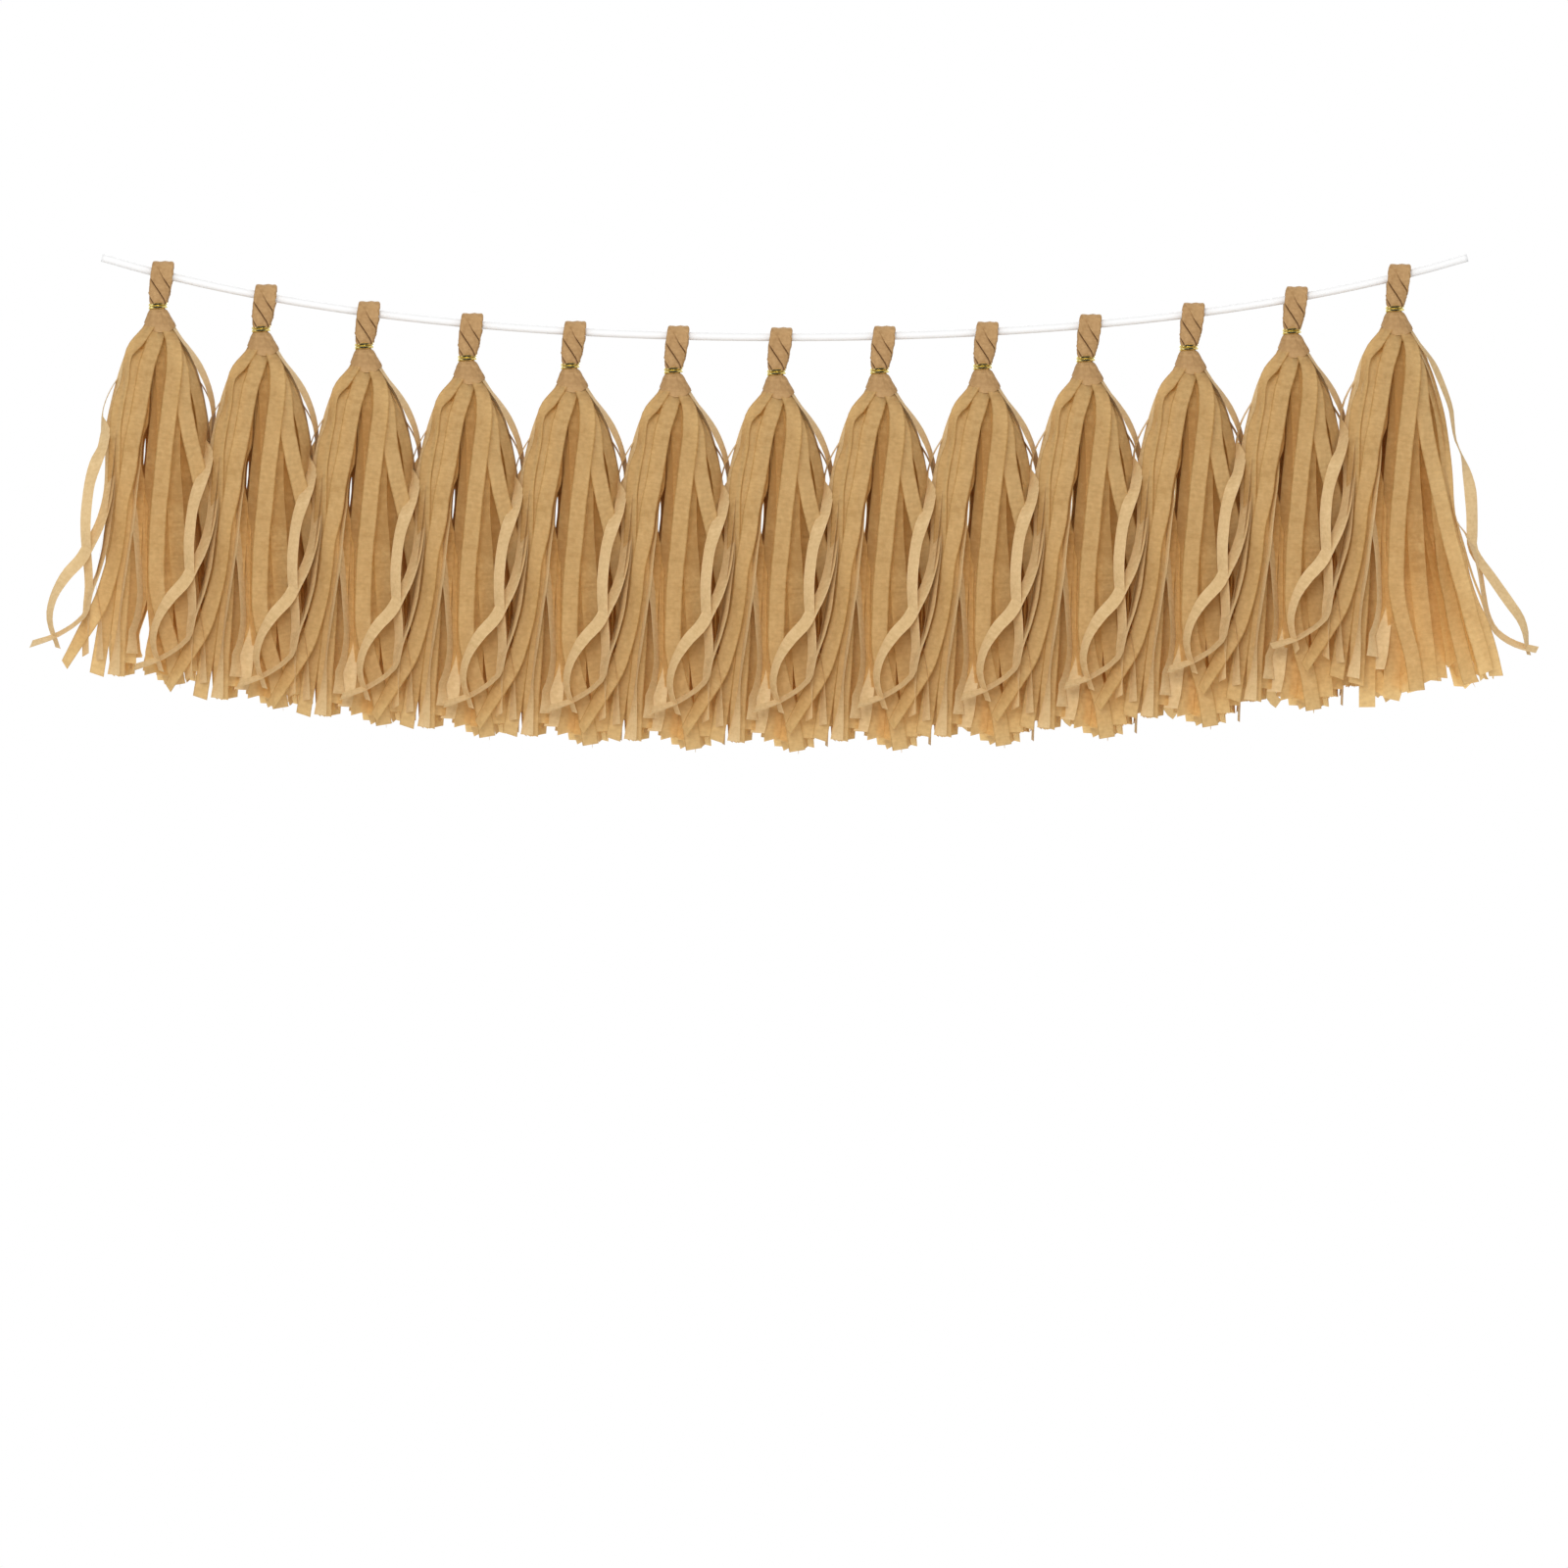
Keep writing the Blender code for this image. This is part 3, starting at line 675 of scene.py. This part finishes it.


# the numbers of a fringe's four finishes, which are lit and shaded copies of the one tan tissue paper
STACKED, LOOSE, INNER, GATHERED = range(4)
# the strips in front, with painted shade along their edges
stacked_tissue = tissue_finish(
    "stacked_tissue", light=(0.76, 0.53, 0.24), deep=(0.47, 0.295, 0.11), glow=(0.92, 0.67, 0.32),
    through=0.36, cloud=38.0, painted_edge_shade=0.8,
)
# the loose strips: a lighter copy, painted light standing in for the light through a single ply
loose_tissue = tissue_finish(
    "loose_tissue", light=(0.82, 0.605, 0.33), deep=(0.60, 0.415, 0.195), glow=(0.88, 0.68, 0.38),
    through=0.13, cloud=60.0,
)
# the inner strips: a lighter copy, painted light standing in for light bounced about inside the pile, with
# painted shade near the roots
inner_tissue = tissue_finish(
    "inner_tissue", light=(0.95, 0.68, 0.30), deep=(0.52, 0.315, 0.112), glow=(0.94, 0.71, 0.35),
    through=0.50, cloud=38.0, painted_root_shade=0.45,
)


# The band above the strips
# Between the wire and the cuts the tissue is whole. It is gathered small under the wire and opens like
# a bell, in fine pleats, to an edge that hangs lower in the middle than at the sides.
BAND_COLUMNS = 72
BAND_ROWS = 30
BAND_TOP = -0.6
# the middle of the band's place in the strips' UV, and half its width there
BAND_TONE = 30.5
BAND_HALF_UV = 0.24
# millimetres below the wire's centre, and the band's radius there
BAND_RADII = [
    (-0.6, 3.8), (1.5, 4.0), (2.2, 5.0), (3.0, 5.7), (5.0, 6.9), (8.0, 8.3), (11.0, 9.6), (14.0, 10.5),
    (17.0, 10.9),
]
# how deep the band is for its width, and how far it leans to the right for each millimetre down, from where
BAND_DEPTH_SHARE = 0.94
BAND_SHIFT = 0.1
BAND_SHIFT_FROM = 2
# how far down the band's edge hangs at its lowest, how much higher it is at the sides, and how far its
# lowest point is to the right
BAND_EDGE = 16.6
BAND_EDGE_RISE = 5.2
BAND_EDGE_PLACE = 0.1
# rows lie closer near the wire by this power
ROW_CROWDING = 1.2
# millimetres down to the wire's lower side, and where the pleats have opened out, to the share that is left
UNDER_WIRE = 1.8
PLEATS_END = 11
PLEATS_LEFT = 0.12
# the pleats' depth, and how many lie round the band and down it
PLEAT_DEPTH = 0.5
PLEATS_ROUND = 7
PLEATS_DOWN = 0.07
# the same for the crumples, and the length over which they begin
CRUMPLE = 0.3
CRUMPLES_ROUND = 2.4
CRUMPLES_DOWN = 0.24
CRUMPLES_BEGIN = 3


def add_band(front, verts, faces, uvs):
    """Add the front or back half of the gathered band that the strips are cut from."""
    start = len(verts)
    for row in range(BAND_ROWS + 1):
        for column in range(BAND_COLUMNS + 1):
            angle = math.pi * column / BAND_COLUMNS + (math.pi if front else 0)
            right, back = math.cos(angle), math.sin(angle)
            lowest = BAND_EDGE - BAND_EDGE_RISE * (right - BAND_EDGE_PLACE) ** 2
            down = BAND_TOP + (lowest - BAND_TOP) * (row / BAND_ROWS) ** ROW_CROWDING
            below_wire = max(down - UNDER_WIRE, 0)
            gathered = min(below_wire, 1) * max(PLEATS_LEFT, 1 - down / PLEATS_END)
            streak = noise.noise(Vector((right * PLEATS_ROUND, back * PLEATS_ROUND, down * PLEATS_DOWN)))
            pleat = abs(streak) * 2 - 0.5
            crumple = noise.noise(
                Vector((right * CRUMPLES_ROUND, back * CRUMPLES_ROUND, down * CRUMPLES_DOWN))
            )
            radius = between(BAND_RADII, down)[0] + pleat * PLEAT_DEPTH * gathered
            radius += crumple * CRUMPLE * min(below_wire / CRUMPLES_BEGIN, 1)
            x = radius * right + BAND_SHIFT * max(down - BAND_SHIFT_FROM, 0)
            y = radius * back * BAND_DEPTH_SHARE
            verts.append((x * MM, y * MM, -down * MM))
            uvs.append((BAND_TONE + BAND_HALF_UV * right, down * MM))
    join_grid(start, BAND_ROWS + 1, BAND_COLUMNS + 1, faces)


def fringe_mesh(name, groups, levels, front, first_number):
    """Make one half of a tassel's fringe: groups of strips, each with its finish and slots, and the band."""
    verts, faces, uvs, finishes = [], [], [], []
    number = first_number
    for strips, finish, slots in groups:
        for stations in strips:
            add_strip(stations, slots, None if finish == LOOSE else levels, number, verts, faces, uvs)
            number += 1
        finishes += [finish] * (len(faces) - len(finishes))
    add_band(front, verts, faces, uvs)
    finishes += [GATHERED] * (len(faces) - len(finishes))
    mesh = make_mesh(name, verts, faces, uvs, stacked_tissue, loose_tissue, inner_tissue, gathered_tissue)
    mesh.polygons.foreach_set("material_index", finishes)
    return mesh


def named(strips, names):
    """Pick strips by their names."""
    return [strips[name] for name in names.split()]


def turned_to_back(strips):
    """Turn strips by half a turn about the tassel's middle."""
    return [[(-x, -y, down, turn + 180) for x, y, down, turn in stations] for stations in strips]


# the band and the head: a darker copy, painted shade of the tightly gathered paper, with painted shade where
# each wrap goes under the next
gathered_tissue = tissue_finish(
    "gathered_tissue", light=(0.57, 0.355, 0.16), deep=(0.35, 0.195, 0.075), glow=(0.90, 0.66, 0.34),
    through=0.12, cloud=150.0, tuck_shade=(0.13, 0.06, 0.02),
)
filling = fill_strips(random.Random(FILL_SEED))
# in front or behind by where a strip hangs at the fifth row of SWELL
front_filling = [stations for stations in filling if stations[4][1] < 0]
back_filling = [stations for stations in filling if stations[4][1] >= 0]
stacked = named(FRONT_STRIPS, "left left_under middle_left middle_right")
shaded = named(FRONT_STRIPS, "right_under inner_left inner_middle inner_low inner_right")
loose = named(FRONT_STRIPS, "loop_left bowed_left crossing_left edge_left slim_left curl_low")
back_stacked = turned_to_back(named(FRONT_STRIPS, "left left_under middle_left middle_right right_under"))
back_loose = turned_to_back(named(FRONT_STRIPS, "bowed_left loop_left"))
both_slots = (HIGH_SLOT, LOW_SLOT)
slot_group = ([SLOT_STRIP], LOOSE, (HIGH_SLOT,))
inner_groups = [
    (stacked + named(INNER_RIGHT_STRIPS, "right far_right"), STACKED, both_slots),
    (loose + named(INNER_RIGHT_STRIPS, "bowed_right"), LOOSE, both_slots),
    (shaded + front_filling, INNER, both_slots),
]
front_fringe = fringe_mesh("front_fringe", inner_groups + [slot_group], END_LEVELS, True, 0)
first_front_fringe = fringe_mesh("first_front_fringe", inner_groups, END_LEVELS, True, 0)
last_front_fringe = fringe_mesh("last_front_fringe", [
    (stacked + named(LAST_RIGHT_STRIPS, "right far_right far_right_under"), STACKED, both_slots),
    (loose + named(LAST_RIGHT_STRIPS, "loop_right crossing_right"), LOOSE, both_slots),
    (shaded + spread_right(front_filling), INNER, both_slots), slot_group,
], LAST_END_LEVELS, True, 0)
back_fringe = fringe_mesh("back_fringe", [
    (back_stacked, STACKED, both_slots), (back_loose, LOOSE, both_slots), (back_filling, INNER, both_slots),
], END_LEVELS, False, 100)
last_back_fringe = fringe_mesh("last_back_fringe", [
    (back_stacked, STACKED, both_slots), (spread_right(back_filling), INNER, both_slots),
], LAST_END_LEVELS, False, 100)


# The twisted head
# Above the wire the gathered tissue is twisted and pressed flat into a strap, which goes up in front of
# the cord, over it and down behind. The twist shows as slanting paper edges across the strap.
HEAD_ROWS = 96
# millimetres from the wire's centre up to the cord's
EYE_HEIGHT = 19.67
# one leg of the strap, from inside the wire to the cord, in millimetres: out from the middle, up,
# half its thickness, half its width, and its middle's place to the right
HEAD_LEG = [
    (1.8, -3.6, 1.8, 3.6, 0.0), (1.8, -1.0, 1.8, 3.7, 0.0), (1.9, 1.2, 1.9, 4.1, 0.1),
    (2.6, 2.3, 2.5, 5.3, 0.3), (3.0, 4.0, 2.7, 5.7, 0.5), (3.4, 7.0, 2.6, 6.05, 0.9),
    (4.0, 11.0, 2.3, 6.4, 1.4), (4.95, 15.5, 1.9, 6.6, 2.0), (5.85, 19.67, 1.4, 6.65, 2.5),
]
# the same over the cord: degrees round from the front, then half its thickness, half its width, its middle
HEAD_OVER = [
    (25, 1.5, 6.65, 2.7), (45, 1.53, 6.65, 3.0), (60, 1.55, 6.6, 3.2), (75, 1.56, 6.4, 3.15),
    (90, 1.55, 6.15, 3.0), (105, 1.56, 6.4, 3.15), (120, 1.55, 6.6, 3.2), (135, 1.53, 6.65, 3.0),
    (155, 1.5, 6.65, 2.7),
]
# how far out and up from the cord's centre the strap's middle is there
HEAD_OVER_REACH = (5.85, 6.08)
# how round the strap's corners are, as a share of half its thickness
HEAD_CORNER_SHARE = 0.5
# how many wraps of paper go round the strap, in how many millimetres one goes once round, and where the
# first one starts
WRAPS = 4
WRAP_PITCH = 42.0
WRAP_PHASE = 0.556
# the wraps' place in the strips' UV, with where in its unit a wrap starts and how wide it is there
HEAD_TONE = 50
WRAP_UV_START = 0.1
WRAP_UV_WIDTH = 0.78
# across one wrap of paper, from its own edge to where it goes under the next: share, rise in millimetres
WRAP_PROFILE = [
    (0.0, 0.35), (0.015, 0.62), (0.06, 0.66), (0.13, 0.52), (0.23, 0.42), (0.33, 0.35), (0.44, 0.27),
    (0.55, 0.19), (0.66, 0.12), (0.76, 0.06), (0.84, 0.0), (0.90, -0.10), (0.945, -0.40), (1.0, -0.75),
]
# up the strap, and how far the edges of its wraps stand out
WRAP_STRENGTH = [(0, 0.2), (4, 0.5), (8, 1.0), (16, 1.0), (19.5, 0.8), (23, 0.0)]
# how strong an edge is in the mean, how much that varies, how quickly along the strap and between wraps
EDGE_MEAN = 0.75
EDGE_VARIES = 0.5
EDGE_PITCH = 0.11
EDGE_APART = 5.3
# the paper's crumples, wide ones and the smaller ones among them, with how quickly each goes up and down
HEAD_CRUMPLE = 0.3
CRUMPLE_PITCH = 0.33
SMALL_SHARE = 0.5
SMALL_PITCH = 0.8
# the fine wrinkles above the wire, how quickly they go up and down, at what height and over what length
HEAD_WRINKLE = 1.3
WRINKLE_PITCH = 1.1
WRINKLE_HEIGHT = 7
WRINKLE_REACH = 4.5


def around_strap(share, half_width, half_thickness):
    """Go round the strap's section from its left side, over its outer face: the point and its normal."""
    turned_over = share % 1.0 >= 0.5
    corner = HEAD_CORNER_SHARE * half_thickness
    flat, side, quarter = half_width - corner, half_thickness - corner, math.pi * corner / 2
    place = (share % 0.5) * 2 * (2 * side + 2 * quarter + 2 * flat)
    if place < side:
        found = (-half_width, place, -1.0, 0.0)
    elif place < side + quarter:
        angle = (place - side) / corner
        a, b = math.cos(angle), math.sin(angle)
        found = (-flat - corner * a, side + corner * b, -a, b)
    elif place < side + quarter + 2 * flat:
        found = (place - side - quarter - flat, half_thickness, 0.0, 1.0)
    elif place < side + 2 * quarter + 2 * flat:
        angle = (place - side - quarter - 2 * flat) / corner
        a, b = math.sin(angle), math.cos(angle)
        found = (flat + corner * a, side + corner * b, a, b)
    else:
        found = (half_width, 2 * side + 2 * quarter + 2 * flat - place, 1.0, 0.0)
    return tuple(-value for value in found) if turned_over else found


def head_mesh():
    """Sweep the strap's section along its path, with the edges of its wraps running round it."""
    stations = [(x, -out, up, thick, wide) for out, up, thick, wide, x in HEAD_LEG]
    for degrees, thick, wide, x in HEAD_OVER:
        angle = math.radians(degrees)
        y = -HEAD_OVER_REACH[0] * math.cos(angle)
        stations.append((x, y, EYE_HEIGHT + HEAD_OVER_REACH[1] * math.sin(angle), thick, wide))
    stations += [(x, out, up, thick, wide) for out, up, thick, wide, x in reversed(HEAD_LEG)]
    points = run_through(stations, HEAD_ROWS + 1)
    verts, faces, uvs = [], [], []
    travelled = 0.0
    for row, (x, y, z, thick, wide) in enumerate(points):
        before = points[max(row - 1, 0)]
        after = points[min(row + 1, HEAD_ROWS)]
        ahead = Vector((0, after[1] - before[1], after[2] - before[2])).normalized()
        outward = Vector((1, 0, 0)).cross(ahead)
        if row:
            travelled += math.dist(points[row - 1][1:3], (y, z))
        edge = between(WRAP_STRENGTH, z)[0]
        for wrap in range(WRAPS):
            strength = EDGE_MEAN
            strength += EDGE_VARIES * noise.noise(Vector((travelled * EDGE_PITCH, wrap * EDGE_APART, 2)))
            for share, rise in WRAP_PROFILE:
                place = WRAP_PHASE - travelled / WRAP_PITCH + (wrap + share) / WRAPS
                across, deep, across_out, deep_out = around_strap(place, wide, thick)
                spot = Vector((x + across, y, z)) + outward * deep
                crumple = noise.noise(spot * CRUMPLE_PITCH)
                crumple += SMALL_SHARE * abs(noise.noise(spot * SMALL_PITCH))
                wrinkle = abs(noise.noise(spot * WRINKLE_PITCH))
                wrinkle *= math.exp(-((z - WRINKLE_HEIGHT) / WRINKLE_REACH) ** 2)
                lift = rise * strength * edge + HEAD_CRUMPLE * crumple - HEAD_WRINKLE * wrinkle
                if deep_out < 0:
                    # the inside of the eye is pressed flat by the cord
                    lift = min(lift, 0)
                spot += Vector((lift * across_out, 0, 0)) + outward * (lift * deep_out)
                verts.append(spot * MM)
                uvs.append((HEAD_TONE + wrap + WRAP_UV_START + WRAP_UV_WIDTH * share, travelled * MM))
    columns = WRAPS * len(WRAP_PROFILE)
    join_grid(0, HEAD_ROWS + 1, columns, faces, closed=True)
    faces.append(tuple(reversed(range(columns))))
    faces.append(tuple(range(len(verts) - columns, len(verts))))
    mesh = make_mesh("twisted_head", verts, faces, uvs, gathered_tissue)
    edge_columns = {0, len(WRAP_PROFILE) - 1}
    for edge in mesh.edges:
        a, b = edge.vertices
        if abs(a - b) == columns and a % columns % len(WRAP_PROFILE) in edge_columns:
            edge.use_edge_sharp = True
    return mesh


head = head_mesh()


# The gold wire
# Two turns of bright gold foil wire, pulled tight round the neck of each tassel.
# Its two ends are at the back, one above the other.
WIRE_DIAMETER = 1.8 * MM
WIRE_PITCH = 1.95 * MM
WIRE_TURNS = 2
WIRE_STEPS = 96
WIRE_SIDES = 16
# from the tassel's middle to the wire's, sideways and back
WIRE_REACH = (4.95 * MM, 4.9 * MM)
GOLD = (0.95, 0.84, 0.38)
GOLD_DEEP = (0.60, 0.44, 0.08)
# the colour of the painted dark reflection line
PAINTED_REFLECTION_DARK = (0.03, 0.025, 0.015)
# crinkles a metre, how far they stand out, and the least and the most that they roughen the foil
CRINKLE_SCALE = 700.0
CRINKLE_RELIEF = 0.1 * MM
FOIL_ROUGHNESS = (0.12, 0.3)
# how quickly the painted dark reflection line ends upwards and sideways, and where it starts to and has
# ended
LINE_UP = 2.6
LINE_SIDEWAYS = 3.6
LINE_FADE = (0.7, 1.3)


def gold_finish():
    """Gold foil: bright and slightly crinkled, with a painted dark reflection line on each turn."""
    material, tree, shader = new_finish("gold_wire")
    shader.inputs["Metallic"].default_value = 1.0
    coords = add_node(tree, "ShaderNodeTexCoord")
    crinkle = add_node(
        tree, "ShaderNodeTexNoise", Vector=coords.outputs["Object"], Scale=CRINKLE_SCALE, Detail=2.0
    )
    ramp = add_node(tree, "ShaderNodeValToRGB", i0=crinkle.outputs[0])
    ramp.color_ramp.elements[0].position = 0.35
    ramp.color_ramp.elements[0].color = (*GOLD_DEEP, 1)
    ramp.color_ramp.elements[1].position = 0.6
    ramp.color_ramp.elements[1].color = (*GOLD, 1)
    # a painted reflection: a short dark line on the front and on the back of each turn, standing in for a
    # dark side of the room mirrored in the foil
    facing = add_node(tree, "ShaderNodeSeparateXYZ", i0=coords.outputs["Normal"])
    up_squared = work_out(tree, "POWER", facing.outputs["Z"], 2.0)
    side_squared = work_out(tree, "POWER", facing.outputs["X"], 2.0)
    side_part = work_out(tree, "MULTIPLY", side_squared, LINE_SIDEWAYS)
    off_line = work_out(tree, "MULTIPLY_ADD", up_squared, LINE_UP, side_part)
    share = add_node(tree, "ShaderNodeMapRange", i0=off_line, i1=LINE_FADE[0], i2=LINE_FADE[1])
    painted_reflection = add_node(
        tree, "ShaderNodeMix", {"data_type": "RGBA"},
        i0=share.outputs[0], i6=(*PAINTED_REFLECTION_DARK, 1), i7=ramp.outputs[0],
    )
    tree.links.new(painted_reflection.outputs[2], shader.inputs["Base Color"])
    shine = add_node(
        tree, "ShaderNodeMapRange", i0=crinkle.outputs[0], i3=FOIL_ROUGHNESS[0], i4=FOIL_ROUGHNESS[1]
    )
    tree.links.new(shine.outputs[0], shader.inputs["Roughness"])
    bump = add_node(tree, "ShaderNodeBump", Strength=0.4, Distance=CRINKLE_RELIEF, Height=crinkle.outputs[0])
    tree.links.new(bump.outputs["Normal"], shader.inputs["Normal"])
    return material


wire_points = []
for step in range(WIRE_STEPS + 1):
    turns = WIRE_TURNS * step / WIRE_STEPS
    angle = math.pi / 2 + 2 * math.pi * turns
    rise = (turns - WIRE_TURNS / 2) * WIRE_PITCH
    wire_points.append((WIRE_REACH[0] * math.cos(angle), WIRE_REACH[1] * math.sin(angle), rise))
wire = make_tube("gold_wire", wire_points, WIRE_DIAMETER / 2, WIRE_SIDES, gold_finish())


# The row
# Thirteen tassels alike hang side by side on the cord, each turning freely on it.
# The last one on the right has no neighbour to hold its strips in, and the first one's slot hangs open.
tassels = sorted(body for body in frame["bodies"] if body.startswith("tassel"))


def hang(name, mesh, body, node, place):
    """Hang one piece of a tassel in its place and let it ride with its tassel."""
    piece = bpy.data.objects.new(name, mesh)
    bpy.context.scene.collection.objects.link(piece)
    piece.location = place
    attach(piece, body)
    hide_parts(node)


for body in tassels:
    low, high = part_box(f"{body}_tie")
    place = ((low[0] + high[0]) / 2, 0.0, (low[2] + high[2]) / 2)
    front_mesh, back_mesh = front_fringe, back_fringe
    if body == tassels[0]:
        front_mesh = first_front_fringe
    if body == tassels[-1]:
        front_mesh, back_mesh = last_front_fringe, last_back_fringe
    hang(f"{body}_twisted_head", head, body, f"{body}_loop", place)
    hang(f"{body}_gold_tie", wire, body, f"{body}_tie", place)
    hang(f"{body}_front_strips", front_mesh, body, f"{body}_front_fringe", place)
    hang(f"{body}_back_strips", back_mesh, body, f"{body}_back_fringe", place)


# The room
# A plain white room: a pale floor well below the garland, soft light from large lamps and a level camera
# whose picture holds the garland in its upper half.
PIXEL = 0.6 * MM
PICTURE_SIZE = 1600
CORD_END_PIXEL = (104, 263)
CAMERA_DISTANCE = 12.0
SENSOR = 36.0
FLOOR_DROP = 0.95
FLOOR_SIZE = 12.0
FLOOR_BACK = 3.0
LAMP_AIM_DROP = 0.15
# the room's light on the garland, where the room that is seen has 1, which is white
ROOM_LIGHT = 0.7
picture_centre = (
    (PICTURE_SIZE / 2 - CORD_END_PIXEL[0]) * PIXEL,
    (CORD_END_PIXEL[1] - PICTURE_SIZE / 2) * PIXEL,
)


def seen_plainly(tree):
    """Tell the rays that come straight from the camera, by a reflection or through something clear."""
    path = add_node(tree, "ShaderNodeLightPath")
    seen = path.outputs["Is Camera Ray"]
    for also in ("Is Transmission Ray", "Is Glossy Ray"):
        seen = work_out(tree, "MAXIMUM", seen, path.outputs[also])
    return seen


world = bpy.data.worlds.new("white_room")
bpy.context.scene.world = world
world.use_nodes = True
background = world.node_tree.nodes["Background"]
background.inputs["Color"].default_value = (1, 1, 1, 1)
level = add_node(
    world.node_tree, "ShaderNodeMapRange", i0=seen_plainly(world.node_tree), i3=ROOM_LIGHT, i4=1.0
)
world.node_tree.links.new(level.outputs[0], background.inputs["Strength"])

bpy.ops.mesh.primitive_plane_add(size=FLOOR_SIZE, location=(picture_centre[0], FLOOR_BACK, -FLOOR_DROP))
floor = bpy.context.object
floor.name = "floor"
floor_material, floor_tree, floor_shader = new_finish("pale_floor")
floor_shader.inputs["Base Color"].default_value = (0.8, 0.8, 0.8, 1)
floor_shader.inputs["Roughness"].default_value = 0.9
white = add_node(floor_tree, "ShaderNodeEmission", Color=(1, 1, 1, 1), Strength=1.0)
floor_mix = add_node(
    floor_tree, "ShaderNodeMixShader",
    i0=seen_plainly(floor_tree), i1=floor_shader.outputs[0], i2=white.outputs[0],
)
floor_tree.links.new(floor_mix.outputs[0], floor_tree.nodes["Material Output"].inputs["Surface"])
floor.data.materials.append(floor_material)

# each lamp's place and size in metres, and its watts
for name, place, size, power in (
    ("key_lamp", (-0.2, -4.2, 1.2), 2.0, 96),
    ("back_lamp", (0.4, 2.4, 0.9), 2.0, 34),
):
    lamp_data = bpy.data.lights.new(name, "AREA")
    lamp_data.size = size
    lamp_data.energy = power
    lamp = bpy.data.objects.new(name, lamp_data)
    bpy.context.scene.collection.objects.link(lamp)
    lamp.location = place
    aim = Vector((picture_centre[0], 0, -LAMP_AIM_DROP)) - Vector(place)
    lamp.rotation_euler = aim.to_track_quat("-Z", "Y").to_euler()

camera_data = bpy.data.cameras.new("camera")
camera_data.sensor_width = SENSOR
camera_data.lens = SENSOR * CAMERA_DISTANCE / (PICTURE_SIZE * PIXEL)
camera = bpy.data.objects.new("camera", camera_data)
bpy.context.scene.collection.objects.link(camera)
camera.location = (picture_centre[0], -CAMERA_DISTANCE, picture_centre[1])
camera.rotation_euler = (math.pi / 2, 0, 0)
bpy.context.scene.camera = camera
bpy.context.scene.view_settings.view_transform = "Standard"
